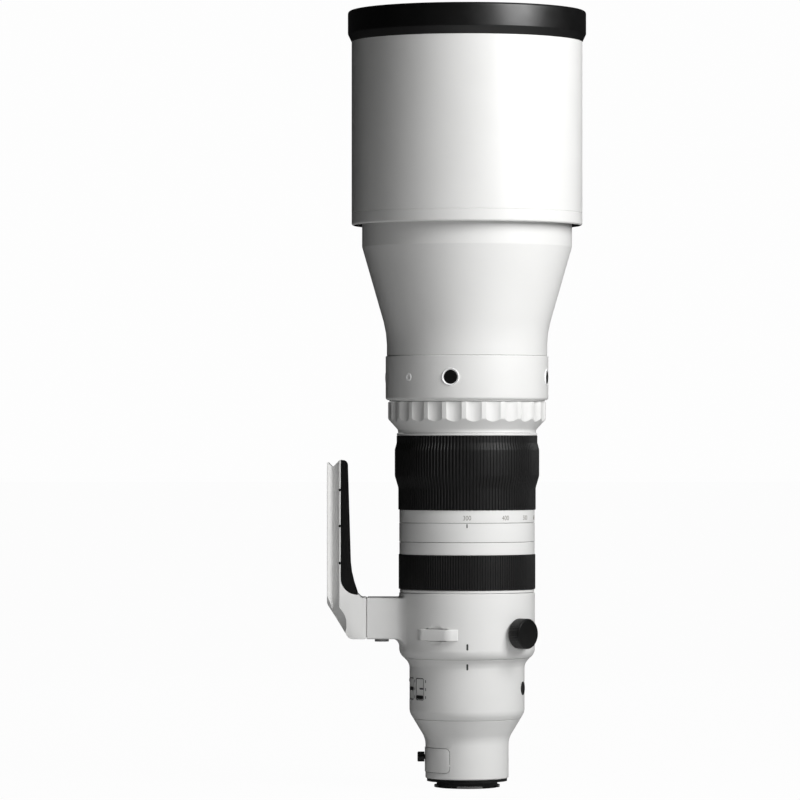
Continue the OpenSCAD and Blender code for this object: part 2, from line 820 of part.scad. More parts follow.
module main_board() color("darkgreen") {
    top = z_chassis + chassis_flange_t + board_t;
    middle = (chassis_r + barrel_in_r) / 2;
    ring(barrel_in_r - 0.4, chassis_r + 0.3, z_chassis + chassis_flange_t, board_t);
    for (i = [0 : 7]) facing(20 + 45 * i) translate([middle, 0, top + 0.5]) cube([4, 4 + i % 3, 1.2], center = true);
}

module relay_cell() color([0.1, 0.1, 0.1]) {
    lens_cell(chassis_in_r - seat_gap, relay_glass_r, z_relay, relay_len, 2);
}

module relay_glass() color([0.75, 0.85, 0.9, 0.4]) {
    element(relay_glass_r, 4, 2.5, 1.2, z_relay + 2.4);
    element(relay_glass_r, 3, -1.5, 1, z_relay + relay_len - 15);
    element(relay_glass_r, 4, 2, 0.8, z_relay + relay_len - 7);
}

module stabiliser_base() color([0.2, 0.2, 0.22]) {
    top = z_stab + stab_base_t;
    ring(chassis_in_r - seat_gap, stab_hole_r, z_stab, stab_base_t);
    for (x = [-1, 1]) difference() {
        translate([x * stab_boss_place - 2, stab_leg - stab_boss / 2, top - join])
            cube([4, stab_boss, stab_boss + join + 0.2]);
        peg(stab_leg_r + run_gap, -stab_leg, stab_leg, z_stab_shaft, stab_leg);
    }
}

// L-shaped guide shaft: one leg slides in the base, the cell slides on the other
module stabiliser_shaft() color("silver") {
    peg(stab_leg_r, -stab_leg_back, stab_leg, z_stab_shaft, stab_leg);
    translate([stab_leg, -stab_leg_back, z_stab_shaft]) rotate([-90, 0, 0])
        cylinder(r = stab_leg_r, h = stab_leg + stab_leg_back);
    translate([stab_leg, stab_leg, z_stab_shaft]) sphere(r = stab_leg_r);
}

module stabiliser_cell() color([0.12, 0.12, 0.12]) {
    ring(stab_cell_r, stab_glass_r + seat_gap, z_stab_cell, stab_cell_len);
    ring(stab_glass_r + 1, stab_glass_r - 1.5, z_stab_cell, 1.5);
    difference() {
        for (y = [-1, 1]) translate([stab_leg - stab_boss / 2, y * stab_boss_place - 2, z_stab_shaft - stab_boss / 2])
            cube([stab_boss, 4, stab_boss + join + 0.5]);
        translate([stab_leg, -stab_leg, z_stab_shaft]) rotate([-90, 0, 0])
            cylinder(r = stab_leg_r + run_gap, h = 2 * stab_leg);
    }
}

module stabiliser_glass() color([0.75, 0.85, 0.9, 0.4]) {
    element(stab_glass_r, 3, 1.2, -0.6, z_stab_cell + 1.5);
}

// Two rails and two magnets between two rings
module focus_rails() color("silver") {
    top = z_rail + rail_len - rail_ring_t;
    difference() {
        for (z = [z_rail, top]) ring(chassis_in_r - seat_gap, rail_ring_in, z, rail_ring_t);
        for (side = [-1, 1]) translate([side * rail_place, 0, z_rail - past])
            cylinder(r = rail_r + seat_gap, h = rail_len + 2 * past);
    }
    for (side = [-1, 1]) {
        translate([side * rail_place, 0, z_rail]) cylinder(r = rail_r, h = rail_len);
        translate([-magnet_w / 2, side * (rail_place + 0.2) - magnet_t / 2, z_rail + rail_ring_t])
            cube([magnet_w, magnet_t, rail_len - 2 * rail_ring_t]);
    }
}

module focus_cell() color([0.12, 0.12, 0.12]) {
    ear_h = 9;
    lens_cell(focus_cell_r, focus_glass_r, z_focus_cell, focus_cell_len, 1.5);
    difference() {
        block(-rail_place - 2.6, rail_place + 2.6, 3, z_focus_cell, z_focus_cell + ear_h);
        translate([0, 0, z_focus_cell - past]) cylinder(r = focus_cell_r - join, h = ear_h + 2 * past);
        for (side = [-1, 1]) translate([side * rail_place, 0, z_focus_cell - past])
            cylinder(r = rail_r + run_gap, h = ear_h + 2 * past);
    }
    for (side = [-1, 1]) translate([-4, side * (focus_cell_r + 0.6) - 1.4, z_focus_cell + 1])
        cube([8, 2.8, focus_cell_len - 2]);
}

module focus_glass() color([0.75, 0.85, 0.9, 0.4]) {
    element(focus_glass_r, 4, 1.2, 1, z_focus_cell + 2.6);
    element(focus_glass_r, 3, -1, 0.8, z_focus_cell + 9);
}

module iris_housing() color([0.1, 0.1, 0.1]) {
    outer = chassis_in_r - seat_gap;
    ring(outer, iris_open_r, z_iris, 1.2);
    ring(outer, blade_out_r + 0.6, z_iris, iris_t);
    ring(outer, iris_open_r, z_iris + iris_t - 1.2, 1.2);
}

// Blades stowed open, each a little higher than the one before
module iris_blades() color([0.2, 0.2, 0.2]) {
    rise = (iris_t - 3.2) / blade_count;
    for (i = [0 : blade_count - 1]) rotate([0, 0, 360 / blade_count * i]) intersection() {
        ring(blade_out_r, iris_open_r + 0.3, z_iris + 1.5 + rise * i, blade_t);
        wedge(-38, 38, blade_out_r, z_iris, iris_t);
    }
}

// Tripod collar with its arm, lugs and knob

// Plan outline of the arm with its blends into the ring
module arm_plan() {
    centre = [-sqrt(pow(collar_r + arm_fillet, 2) - pow(foot_half + arm_fillet, 2)), foot_half + arm_fillet];
    touch = centre * collar_r / (collar_r + arm_fillet);
    translate([-foot_seam, -foot_half]) square([foot_seam, foot_w]);
    for (side = [0, 1]) mirror([0, side]) difference() {
        polygon([[centre.x, foot_half - join], [centre.x, centre.y], touch, [touch.x + 3, foot_half - join]]);
        translate(centre) circle(r = arm_fillet);
    }
}

// One strap lug: a bar with bevelled ends
module lug_bar() {
    end = collar_r * [cos(lug_end_angle), sin(lug_end_angle)];
    low = z_collar + lug_z - lug_h / 2;
    translate([0, 0, low]) linear_extrude(lug_h) difference() {
        polygon([
            [lug_out, -lug_flat], [lug_out, lug_flat], end, [end.x - 2, end.y], [end.x - 2, -end.y], [end.x, -end.y]
        ]);
        translate([0, -pocket_w / 2]) square([lug_out - lug_t, pocket_w]);
    }
}

// The hollow that lets a strap pass behind a lug
module strap_hollow() {
    z = z_collar + lug_z;
    floor_r = collar_r - strap_depth;
    translate([floor_r + scoop_r, 0, z]) sphere(r = scoop_r);
    block(floor_r, collar_r + 3, pocket_w / 2, z - pocket_h / 2, z + pocket_h / 2);
}

module tripod_collar() color("whitesmoke") {
    bore = journal_r + run_gap;
    low = z_collar + ring_gap;
    seam = barrel_r + (low - z_shoulder) * tan(shoulder_slope);
    difference() {
        union() {
            difference() {
                union() {
                    turned([
                        [bore, low], [seam, low, seam_bevel], [collar_r, z_shoulder_top, shoulder_fillet],
                        [collar_r, z_stop - ring_gap, 1.2], [bore, z_stop - ring_gap]
                    ]);
                    intersection() {
                        translate([0, 0, arm_low]) linear_extrude(arm_h) arm_plan();
                        arm_edges();
                    }
                    arm_under_fillet();
                }
                for (angle = [lug_angle, -180 - lug_angle]) facing(angle) strap_hollow();
            }
            for (angle = [lug_angle, -180 - lug_angle]) facing(angle) lug_bar();
        }
        translate([0, 0, low - past]) cylinder(r = bore, h = collar_len + 2 * past);
        facing(lock_angle) peg(lock_shaft_r + seat_gap, journal_r - 2, collar_r + 3, z_collar + lock_z);
        translate([-nub_x, 0, arm_low - past]) cylinder(r = nub_shank_r + seat_gap, h = nub_shank_len + past + 0.5);
        foot_bolt_places(bolt_r + seat_gap, bolt_head_r);
    }
}

// The arm seen from the side, rounded at its outer end
module arm_edges() {
    rotate([90, 0, 0]) linear_extrude(3 * foot_w, center = true) polygon(rounded([
        [-foot_seam, arm_low, 1.5], [0, arm_low], [0, arm_top], [-foot_seam, arm_top, 1.5]
    ]));
}

// The rounding below the arm where it leaves the ring
module arm_under_fillet() {
    reach = collar_r + under_fillet;
    rotate([90, 0, 0]) linear_extrude(foot_w - 4, center = true) difference() {
        translate([-reach, arm_low - under_fillet]) square([under_fillet + 8, under_fillet + join]);
        translate([-reach, arm_low - under_fillet]) circle(r = under_fillet);
    }
}

// Bolts that hold the foot to the arm, or their holes
module foot_bolt_places(shank, head) {
    for (side = [-1, 1], z = bolt_z) translate([0, side * bolt_place, arm_low + z]) {
        peg(shank, -bolt_head_x, -bolt_tip_x, 0);
        peg(head, -bolt_head_x - bolt_head_len, -bolt_head_x, 0);
    }
}

// Side outline of the foot's metal
function foot_outline() = rounded([
    [-foot_seam - foot_seam_gap, arm_low, 1.5], [-heel_in, arm_low, 5],
    [-foot_out, arm_low + heel_rise, 5], [-foot_out, foot_top], [-pad_back, foot_top],
    [-pad_back, arm_low + pad_end_z, pad_round], [-pad_end_x, arm_low + pad_end_z],
    [-pad_end_x + 2.2, arm_top, 3], [-foot_seam - foot_seam_gap, arm_top, 1.5]
]);

// The groove cut of the dovetail: [distance from the lens axis, distance from the middle]
function groove_outline(lip, groove, top) = [
    [-pad_back + 0.2, top], [-pad_back + 0.2, top + 10], [-foot_out - 5, top + 10], [-foot_out - 5, lip],
    [-foot_out + lip_edge, lip], [-foot_out + lip_edge + lip - groove, groove],
    [-foot_out + lip_edge + lip - groove + top - groove, top]
];

module tripod_foot() color("whitesmoke") {
    notch = lip_half - groove_half;
    end_lip = foot_top - 2.2;
    difference() {
        rotate([90, 0, 0]) linear_extrude(foot_w, center = true) polygon(foot_outline());
        for (side = [0, 1]) mirror([0, side, 0]) translate([0, 0, groove_z]) linear_extrude(foot_len)
            polygon(groove_outline(lip_half, groove_half, foot_half + 0.01));
        rotate([90, 0, 0]) linear_extrude(foot_w + 2 * past, center = true)
            polygon(groove_outline(end_lip, end_lip - notch, foot_top + 0.01));
        heel_bevels();
        for (side = [-1, 1], z = bolt_z) translate([0, side * bolt_place, arm_low + z]) {
            peg(bolt_r + seat_gap, -bolt_head_x - 1, -foot_seam + 1, 0);
            peg(bolt_head_r + 0.2, -foot_out - 1, -bolt_head_x, 0);
        }
        foot_threads();
    }
}

// Slanted cuts along both edges of the heel
module heel_bevels() {
    size = 9.4;
    lean = atan2(foot_out - heel_in, heel_rise);
    for (side = [0, 1]) mirror([0, side, 0])
        translate([-foot_out, foot_half, arm_low + heel_rise]) rotate([0, -lean, 0]) rotate([0, 0, 45])
            translate([-size / 2, -size, -60]) cube([size, 2 * size, 90]);
}

module foot_threads() {
    for (i = [0 : 2])
        peg(i == 1 ? large_thread_r : small_thread_r, -foot_out - past, -foot_out + thread_depths[i],
            arm_low + thread_pitch_z[i]);
}

module foot_grip() color([0.06, 0.06, 0.06]) {
    back = pad_back - pad_gap;
    rotate([90, 0, 0]) linear_extrude(foot_w - 0.6, center = true) polygon(rounded([
        [-back, foot_top - 0.2, 0.4], [-pad_top_x, foot_top - 0.2, 4],
        [-pad_low_x, arm_low + pad_bend_z, 30], [-pad_end_x, arm_low + pad_end_z + pad_gap],
        [-back, arm_low + pad_end_z + pad_gap, pad_round]
    ]));
}

module foot_screws() color("gray") {
    socket_r = 3;
    difference() {
        union() {
            translate([-nub_x, 0, arm_low - nub_h]) cylinder(r = nub_r, h = nub_h - 0.02);
            translate([-nub_x, 0, arm_low - join]) cylinder(r = nub_shank_r, h = nub_shank_len);
        }
        translate([-nub_x, 0, arm_low - nub_h - past]) cylinder(r = socket_r, h = past + 1.6, $fn = 6);
    }
    difference() {
        foot_bolt_places(bolt_r, bolt_head_r);
        for (side = [-1, 1], z = bolt_z) translate([-bolt_head_x - bolt_head_len, side * bolt_place, arm_low + z])
            rotate([0, 90, 0]) translate([0, 0, -past]) cylinder(r = 2.3, h = past + 2.5, $fn = 6);
    }
}

module collar_knob() color([0.05, 0.05, 0.05]) {
    base = collar_r + lock_seat;
    facing(lock_angle) translate([base, 0, z_collar + lock_z]) rotate([0, 90, 0]) turned([
        [0, -base + journal_r + lock_shaft_in], [lock_shaft_r, -base + journal_r + lock_shaft_in], [lock_shaft_r, 0],
        [lock_r - 1, 0, 0.5], [lock_r, 1.5, 0.5], [lock_r, lock_len - 1, 0.2], [lock_r - 1, lock_len, 0.2],
        [0, lock_len]
    ]);
}

// Main tube and the rings that turn on it

module main_tube() color([0.18, 0.18, 0.2]) {
    difference() {
        turned([
            [barrel_in_r + 0.2, z_stop], [stop_r, z_stop, 0.4], [stop_r, z_focus, 0.4], [main_r, z_focus],
            [main_r, z_band + web_t], [main_in_r, z_band + web_t], [main_in_r, z_focus], [barrel_in_r + 0.2, z_focus]
        ]);
        facing(key_angle) intersection() {
            ring(main_r + 2, main_in_r - 2, z_key - free_gap, key_h + 2 * free_gap);
            wedge(-zoom_turn - 6, 6, main_r + 2, z_key - past, key_h + 2 * past);
        }
    }
}

module focus_ring() color("whitesmoke") {
    rubber_top = z_focus + ring_gap + focus_rubber_len;
    turned([
        [ring_bore, z_focus + ring_gap], [sleeve_r, z_focus + ring_gap], [sleeve_r, rubber_top],
        [smooth_r, rubber_top, 0.3], [smooth_r, z_index - ring_gap / 2, 0.4], [ring_bore, z_index - ring_gap / 2]
    ]);
}

module focus_rubber() color([0.05, 0.05, 0.05]) {
    low = z_focus + ring_gap + 0.1;
    high = z_focus + ring_gap + focus_rubber_len - 0.05;
    turned([
        [sleeve_r + seat_gap, low], [focus_rubber_r, low, 0.5], [focus_rubber_r, high, 0.5], [sleeve_r + seat_gap, high]
    ]);
}

module index_band() color("whitesmoke") {
    low = z_index + ring_gap / 2;
    high = z_zoom - ring_gap / 2;
    turned([
        [main_r + seat_gap, low], [smooth_r + 0.1, low, 0.4], [smooth_r + 0.1, high, 0.4], [main_r + seat_gap, high]
    ]);
}

module zoom_ring() color("whitesmoke") {
    low = z_zoom + ring_gap / 2;
    high = z_function - ring_gap / 2;
    rubber_low = z_zoom + scale_len;
    rubber_high = z_function - zoom_strip_len;
    difference() {
        turned([
            [ring_bore, low], [smooth_r, low, 0.4], [smooth_r, rubber_low, 0.3], [sleeve_r, rubber_low],
            [sleeve_r, rubber_high], [zoom_high_r - 0.2, rubber_high, 0.3], [zoom_high_r - 0.2, high, 0.5], [ring_bore, high]
        ]);
        facing(key_angle) block(main_r - 1, key_out + 0.1, key_w / 2 + 0.1, z_key - 0.1, z_key + key_h + 0.1);
    }
}

module zoom_rubber() color([0.05, 0.05, 0.05]) {
    low = z_zoom + scale_len + 0.05;
    high = z_function - zoom_strip_len - 0.05;
    rise = low + zoom_foot_len;
    bulge = rise + zoom_rise_len;
    fall = bulge + zoom_bulge_len;
    turned([
        [sleeve_r + seat_gap, low], [zoom_low_r, low, 0.6], [zoom_low_r, rise, 6], [zoom_bulge_r, bulge, 6],
        [zoom_bulge_r, fall, 3], [zoom_high_r, fall + zoom_fall_len, 3], [zoom_high_r, high, 0.6],
        [sleeve_r + seat_gap, high]
    ]);
}

// A helical slot through the cam tube, as rings of four points along the helix
module cam_slot(start_z, rise) {
    grade = rise / (cam_r * zoom_turn * PI / 180);
    half_h = (roller_r + slot_gap) * sqrt(1 + grade * grade);
    spare = (roller_r + slot_gap) / cam_r * 180 / PI;
    steps = 20;
    angle = function (i) -spare + (zoom_turn + 2 * spare) * i / steps;
    places = [for (i = [0 : steps]) let (a = angle(i), z = start_z + rise * a / zoom_turn)
        for (p = [[cam_in_r - 1.5, -half_h], [cam_r + 1.5, -half_h], [cam_r + 1.5, half_h], [cam_in_r - 1.5, half_h]])
            [p.x * cos(a), p.x * sin(a), z + p.y]];
    walls = [for (i = [0 : steps - 1], j = [0 : 3]) let (k = (j + 1) % 4)
        [4 * i + j, 4 * i + k, 4 * i + 4 + k, 4 * i + 4 + j]];
    polyhedron(places, concat([[3, 2, 1, 0]], walls, [[4 * steps, 4 * steps + 1, 4 * steps + 2, 4 * steps + 3]]));
}

module cam_tube() color([0.5, 0.5, 0.52]) {
    low = z_guide + guide_flange_t + ring_gap;
    high = z_guide_top - guide_flange_t - ring_gap;
    difference() {
        union() {
            ring(cam_r, cam_in_r, low, high - low);
            facing(key_angle) block(cam_r - join, key_out, key_w / 2, z_key, z_key + key_h);
        }
        for (i = [0 : 2]) rotate([0, 0, roller_angle + 120 * i]) {
            cam_slot(z_variator_roller, -variator_travel);
            cam_slot(z_compensator_roller, compensator_travel);
        }
    }
}

module guide_tube() color([0.3, 0.3, 0.32]) {
    half = roller_r + slot_gap;
    difference() {
        union() {
            ring(guide_r, guide_in_r, z_guide, z_guide_top - z_guide);
            ring(main_in_r - seat_gap, guide_in_r, z_guide, guide_flange_t);
            ring(main_in_r - seat_gap, guide_in_r, z_guide_top - guide_flange_t, guide_flange_t);
        }
        for (i = [0 : 2]) rotate([0, 0, roller_angle + 120 * i]) {
            block(guide_in_r - 2, guide_r + 2, half,
                z_variator_roller - variator_travel - half, z_variator_roller + half);
            block(guide_in_r - 2, guide_r + 2, half,
                z_compensator_roller - half, z_compensator_roller + compensator_travel + half);
        }
    }
}

// Three rollers on pins that are pressed into a cell
module cam_rollers(z) {
    outer = guide_in_r - run_gap;
    for (i = [0 : 2]) rotate([0, 0, roller_angle + 120 * i]) {
        peg(roller_r, outer + 0.05, cam_r - 0.2, z);
        peg(pin_r - 0.02, outer - pin_depth + 0.3, outer + join, z);
    }
}

// A lens cell that slides in the guide tube, with holes for the roller pins
module sliding_cell(glass_r, z, length) {
    outer = guide_in_r - run_gap;
    difference() {
        lens_cell(outer, glass_r, z, length, 2);
        for (i = [0 : 2]) rotate([0, 0, roller_angle + 120 * i])
            peg(pin_r, outer - pin_depth, outer + join, z + length / 2);
    }
}

zoom_glass_r = 35.5;

module variator_cell() color([0.12, 0.12, 0.12]) {
    sliding_cell(zoom_glass_r, z_variator, variator_len);
    cam_rollers(z_variator_roller);
}

module variator_glass() color([0.75, 0.85, 0.9, 0.4]) {
    element(zoom_glass_r, 4, -2.5, 0.6, z_variator + 3);
    element(zoom_glass_r, 5, -2, -1.5, z_variator + variator_len - 8);
}

module compensator_cell() color([0.12, 0.12, 0.12]) {
    sliding_cell(zoom_glass_r, z_compensator, compensator_len);
    cam_rollers(z_compensator_roller);
}

module compensator_glass() color([0.75, 0.85, 0.9, 0.4]) {
    element(zoom_glass_r, 4, 2, 0.6, z_compensator + 3);
    element(zoom_glass_r, 4, 1.5, 1, z_compensator + compensator_len - 8);
}

// Function ring and button band

module function_ring() color("whitesmoke") {
    low = z_function + ring_gap;
    high = z_band - 1.5;
    grip_low = high - function_grip_len;
    difference() {
        turned([
            [ring_bore, low], [function_low_r, low, 0.3], [function_low_r, low + function_strip, 3],
            [function_r, grip_low, 2.5], [function_r, high, 0.8], [function_hollow_r, high],
            [function_hollow_r, low + function_bearing], [ring_bore, low + function_bearing]
        ]);
        for (i = [0 : flute_count - 1]) facing(5 + 360 / flute_count * i)
            translate([flute_centre, 0, low + function_strip]) cylinder(r = flute_r, h = function_len);
    }
}

module button_band() color("whitesmoke") {
    inner = band_r - band_wall;
    difference() {
        union() {
            turned([
                [main_r + seat_gap, z_band], [band_r, z_band, band_round], [band_r, z_neck, 0.6],
                [inner, z_neck], [inner, z_band + web_t], [main_r + seat_gap, z_band + web_t]
            ]);
            for (i = [0 : 3]) facing(hold_angle + 90 * i) translate([inner + 1, 0, z_hold]) rotate([0, 90, 0])
                cylinder(r1 = bezel_r + 0.9, r2 = bezel_r - 0.4, h = band_r + bezel_proud - inner - 1);
        }
        for (i = [0 : 3]) facing(hold_angle + 90 * i) {
            peg(hold_r + 0.2, inner - 3, band_r + 3, z_hold);
            translate([band_r + bezel_proud - 0.7, 0, z_hold]) rotate([0, 90, 0])
                cylinder(r1 = hold_r + 0.2, r2 = hold_r + 1, h = 0.8);
        }
    }
}

module button_board() color("darkgreen") {
    ring(board_r, board_r - board_wall, z_band + web_t, board_h);
    for (i = [0 : 3]) facing(hold_angle + 90 * i) peg(dome_r, board_r - 0.8, board_r + dome_h, z_hold);
}

// One round button on the button band
module hold_button(i) color([0.05, 0.05, 0.05]) {
    collar = hold_r + button_collar;
    facing(hold_angle + 90 * i) {
        translate([hold_back, 0, z_hold]) rotate([0, 90, 0]) turned([
            [0, 0], [collar, 0], [collar, button_collar_t], [hold_r, button_collar_t],
            [hold_r, band_r - hold_back + 0.2, 0.5], [0, band_r - hold_back + 0.2]
        ]);
    }
}

// Front barrel, its cell and glass

module front_barrel() color("whitesmoke") {
    turned([
        [neck_r - front_wall, z_neck], [neck_r, z_neck, seam_bevel], [neck_r, z_neck_bend, neck_fillet],
        [front_r, z_cone_top, 3], [front_r, z_end, 0.8], [front_r - front_wall, z_end],
        [front_r - front_wall, z_cone_top], [neck_r - front_wall, z_neck_bend]
    ]);
}

module front_cell() color([0.08, 0.08, 0.08]) {
    turned([
        [third_glass_r - 3, z_front_cell], [front_cell_low_r, z_front_cell], [front_cell_r, z_cone_top + 1],
        [front_cell_r, z_end - front_cell_top, 0.5], [front_glass_r + seat_gap, z_end - front_cell_top],
        [front_glass_r + seat_gap, z_front_glass - 0.5], [second_glass_r + seat_gap, z_front_glass - 0.5],
        [second_glass_r + seat_gap, z_second_glass - 0.5], [third_glass_r + seat_gap, z_second_glass - 0.5],
        [third_glass_r + seat_gap, z_third_glass - 0.5], [third_glass_r - 3, z_third_glass - 0.5]
    ]);
}

module front_glass() color([0.6, 0.75, 0.85, 0.4]) {
    element(front_glass_r, front_glass_edge, front_bulge, 1, z_front_glass);
}

module front_group_glass() color([0.75, 0.85, 0.9, 0.4]) {
    element(second_glass_r, 8, 3, 1.5, z_second_glass);
    element(third_glass_r, 8, 2, -3, z_third_glass);
}

module front_retainer() color([0.04, 0.04, 0.04]) {
    low = z_front_glass + front_glass_edge;
    difference() {
        turned([
            [front_glass_r - 0.6, low + 0.1], [front_glass_r, low + 0.1], [front_glass_r, low + retainer_t],
            [retainer_in_r, low + retainer_t, 0.5], [retainer_in_r, low + retainer_t - 1.2]
        ]);
        for (turn = [0, 180]) rotate([0, 0, turn])
            block(retainer_in_r - 1, front_glass_r - 1, 1.2, low + retainer_t - 1, low + retainer_t + 1);
    }
}

// Hood

module hood_tube() color("whitesmoke") {
    inner = hood_r - hood_wall;
    land_out = hood_land_r + hood_land_wall;
    top = z_hood_top - rim_lip * 3;
    difference() {
        turned([
            [inner, z_hood], [hood_r, z_hood, hood_wall - 0.2], [hood_r, z_hood + hood_seam],
            [hood_r - 0.35, z_hood + hood_seam + 0.25], [hood_r, z_hood + hood_seam + 0.5], [hood_r, top],
            [inner, top], [inner, z_hood + hood_web_z + hood_web_t], [land_out, z_hood + hood_web_z + hood_web_t],
            [land_out, z_hood + hood_land_len, 0.5], [hood_land_r, z_hood + hood_land_len, 0.5],
            [hood_land_r, z_hood + hood_web_z], [inner, z_hood + hood_web_z]
        ]);
        facing(180) peg(hood_screw_shaft_r + seat_gap, hood_land_r - 1, hood_r + 1, z_hood + hood_screw_z);
    }
}

module hood_rim() color([0.04, 0.04, 0.04]) {
    inner = hood_r - hood_wall;
    low = z_hood_top - rim_lip * 3;
    turned([
        [hood_r + seat_gap, z_rim], [rim_r, z_rim + rim_chamfer, 2], [rim_r, z_hood_top, 1.8],
        [inner - rim_lip, z_hood_top, 1.2], [inner - rim_lip, low + 0.05], [hood_r + seat_gap, low + 0.05]
    ]);
}

module hood_screw() color([0.05, 0.05, 0.05]) {
    base = hood_r + free_gap;
    facing(180) translate([base, 0, z_hood + hood_screw_z]) rotate([0, 90, 0]) turned([
        [0, hood_land_r + 0.4 - base], [hood_screw_shaft_r, hood_land_r + 0.4 - base], [hood_screw_shaft_r, 0],
        [hood_screw_r - 0.6, 0, 0.4], [hood_screw_r, 1.2, 0.4], [hood_screw_r, hood_screw_len, 1], [0, hood_screw_len]
    ]);
}

bayonet_mount();
mount_screws();
mount_gasket();
contact_block();
contact_pins();
rear_tube();
filter_drawer();
rear_filter();
filter_knob();
rear_barrel();
slide_switch(0);  // switch_1
slide_switch(1);  // switch_2
slide_switch(2);  // switch_3
slide_switch(3);  // switch_4
focus_set_button();
main_board();
chassis_tube();
relay_cell();
relay_glass();
stabiliser_base();
stabiliser_shaft();
stabiliser_cell();
stabiliser_glass();
focus_rails();
focus_cell();
focus_glass();
iris_housing();
iris_blades();
tripod_collar();
tripod_foot();
foot_grip();
foot_screws();
collar_knob();
main_tube();
focus_ring();
focus_rubber();
index_band();
guide_tube();
cam_tube();
zoom_ring();
zoom_rubber();
variator_cell();
variator_glass();
compensator_cell();
compensator_glass();
function_ring();
button_band();
button_board();
hold_button(0);  // hold_button_1
hold_button(1);  // hold_button_2
hold_button(2);  // hold_button_3
hold_button(3);  // hold_button_4
front_barrel();
front_cell();
front_glass();
front_group_glass();
front_retainer();
hood_tube();
hood_rim();
hood_screw();
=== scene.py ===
"""White telephoto zoom lens with its hood up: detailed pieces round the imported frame.

Sizes are in millimetres until a point is made. A view angle is counted about +Z
from -Y, and grows towards +X.
"""
import json
import math

import bmesh
import bpy
from mathutils import Matrix, Vector

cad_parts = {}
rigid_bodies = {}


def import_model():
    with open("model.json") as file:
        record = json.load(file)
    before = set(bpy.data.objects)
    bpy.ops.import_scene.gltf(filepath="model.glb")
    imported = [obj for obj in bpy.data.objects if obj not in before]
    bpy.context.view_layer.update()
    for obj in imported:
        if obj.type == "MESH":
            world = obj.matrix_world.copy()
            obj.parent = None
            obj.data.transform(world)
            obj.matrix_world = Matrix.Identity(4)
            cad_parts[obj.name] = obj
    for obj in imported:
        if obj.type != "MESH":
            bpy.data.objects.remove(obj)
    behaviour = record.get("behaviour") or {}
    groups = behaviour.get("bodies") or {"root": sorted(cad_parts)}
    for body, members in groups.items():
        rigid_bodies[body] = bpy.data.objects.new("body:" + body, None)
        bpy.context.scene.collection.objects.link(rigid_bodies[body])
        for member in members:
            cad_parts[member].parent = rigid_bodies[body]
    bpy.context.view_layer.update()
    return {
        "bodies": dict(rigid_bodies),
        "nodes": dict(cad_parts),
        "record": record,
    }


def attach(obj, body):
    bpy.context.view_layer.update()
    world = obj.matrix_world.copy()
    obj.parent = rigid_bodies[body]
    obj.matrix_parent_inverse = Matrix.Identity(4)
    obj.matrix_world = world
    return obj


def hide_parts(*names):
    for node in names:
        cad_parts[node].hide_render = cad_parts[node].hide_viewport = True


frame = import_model()
nodes = frame["nodes"]
body_names = {body: name for name, body in frame["bodies"].items()}
node_slots = {row["node"]: row["material_slot"] for row in frame["record"]["subparts"]}

MM = 0.001
FULL = 2 * math.pi
ROUND_STEPS = 288
FINE_STEPS = 384
BUTTON_STEPS = 96
DEGREES_PER_FACET = 7


# Shapes


def mm(*values):
    """A point given in millimetres."""
    return Vector(values) * MM


def facing(angle, x=0.0, y=0.0, z=0.0):
    """Takes +X to point outwards at a view angle, after a move in millimetres."""
    return Matrix.Rotation(math.radians(angle - 90), 4, "Z") @ Matrix.Translation(mm(x, y, z))


def lying():
    """Takes +Z to +X, and +X to -Z."""
    return Matrix.Rotation(math.radians(90), 4, "Y")


def upright():
    """Takes +X to +Z."""
    return Matrix.Rotation(math.radians(-90), 4, "Y")


def outline(bm, corners, point):
    """Closed wire through (a, b) or (a, b, rounding) corners, placed by point(a, b)."""
    spots = [Vector(corner[:2]) for corner in corners]
    verts = [bm.verts.new(point(*spot)) for spot in spots]
    for start, end in zip(verts, verts[1:] + verts[:1]):
        bm.edges.new((start, end))
    for i, corner in enumerate(corners):
        if len(corner) < 3:
            continue
        before = spots[i - 1] - spots[i]
        after = spots[(i + 1) % len(spots)] - spots[i]
        turn = math.pi - before.angle(after)
        bmesh.ops.bevel(
            bm, geom=[verts[i]], affect="VERTICES", offset_type="OFFSET",
            offset=corner[2] * math.tan(turn / 2) * MM,
            segments=max(2, round(math.degrees(turn) / DEGREES_PER_FACET)),
            profile=0.5, material=-1,
        )


def turned(corners, steps=ROUND_STEPS):
    """A shape turned about Z from (radius, height, rounding) corners."""
    bm = bmesh.new()
    outline(bm, corners, lambda r, z: mm(r, 0, z))
    bmesh.ops.spin(
        bm, geom=bm.verts[:] + bm.edges[:], cent=(0, 0, 0), axis=(0, 0, 1),
        angle=FULL, steps=steps, use_merge=True,
    )
    return tidy(bm)


def prism(corners, point, push):
    """A closed outline pushed along a vector in millimetres."""
    bm = bmesh.new()
    outline(bm, corners, point)
    face = bmesh.ops.contextual_create(bm, geom=bm.edges[:])["faces"]
    made = bmesh.ops.extrude_face_region(bm, geom=face)["geom"]
    moved = [item for item in made if isinstance(item, bmesh.types.BMVert)]
    bmesh.ops.translate(bm, verts=moved, vec=mm(*push))
    return tidy(bm)


def rod(r_low, r_high, start, end, at=Matrix(), segments=64):
    """A rod or cone along local X from start to end."""
    bm = bmesh.new()
    middle = Matrix.Translation(mm((start + end) / 2, 0, 0))
    bmesh.ops.create_cone(
        bm, cap_ends=True, segments=segments, radius1=r_low * MM, radius2=r_high * MM,
        depth=(end - start) * MM, matrix=at @ middle @ lying(),
    )
    return bm


def rounded_box_outline(width, height, corner):
    """Corners of a rectangle about the middle, each with the same rounding."""
    w, h = width / 2, height / 2
    return [(-w, -h, corner), (w, -h, corner), (w, h, corner), (-w, h, corner)]


def slab(width, height, corner, start, end, at=Matrix()):
    """A plate with round corners, standing across local X from start to end."""
    bm = prism(rounded_box_outline(width, height, corner),
               lambda y, z: mm(start, y, z), (end - start, 0, 0))
    bm.transform(at)
    return bm


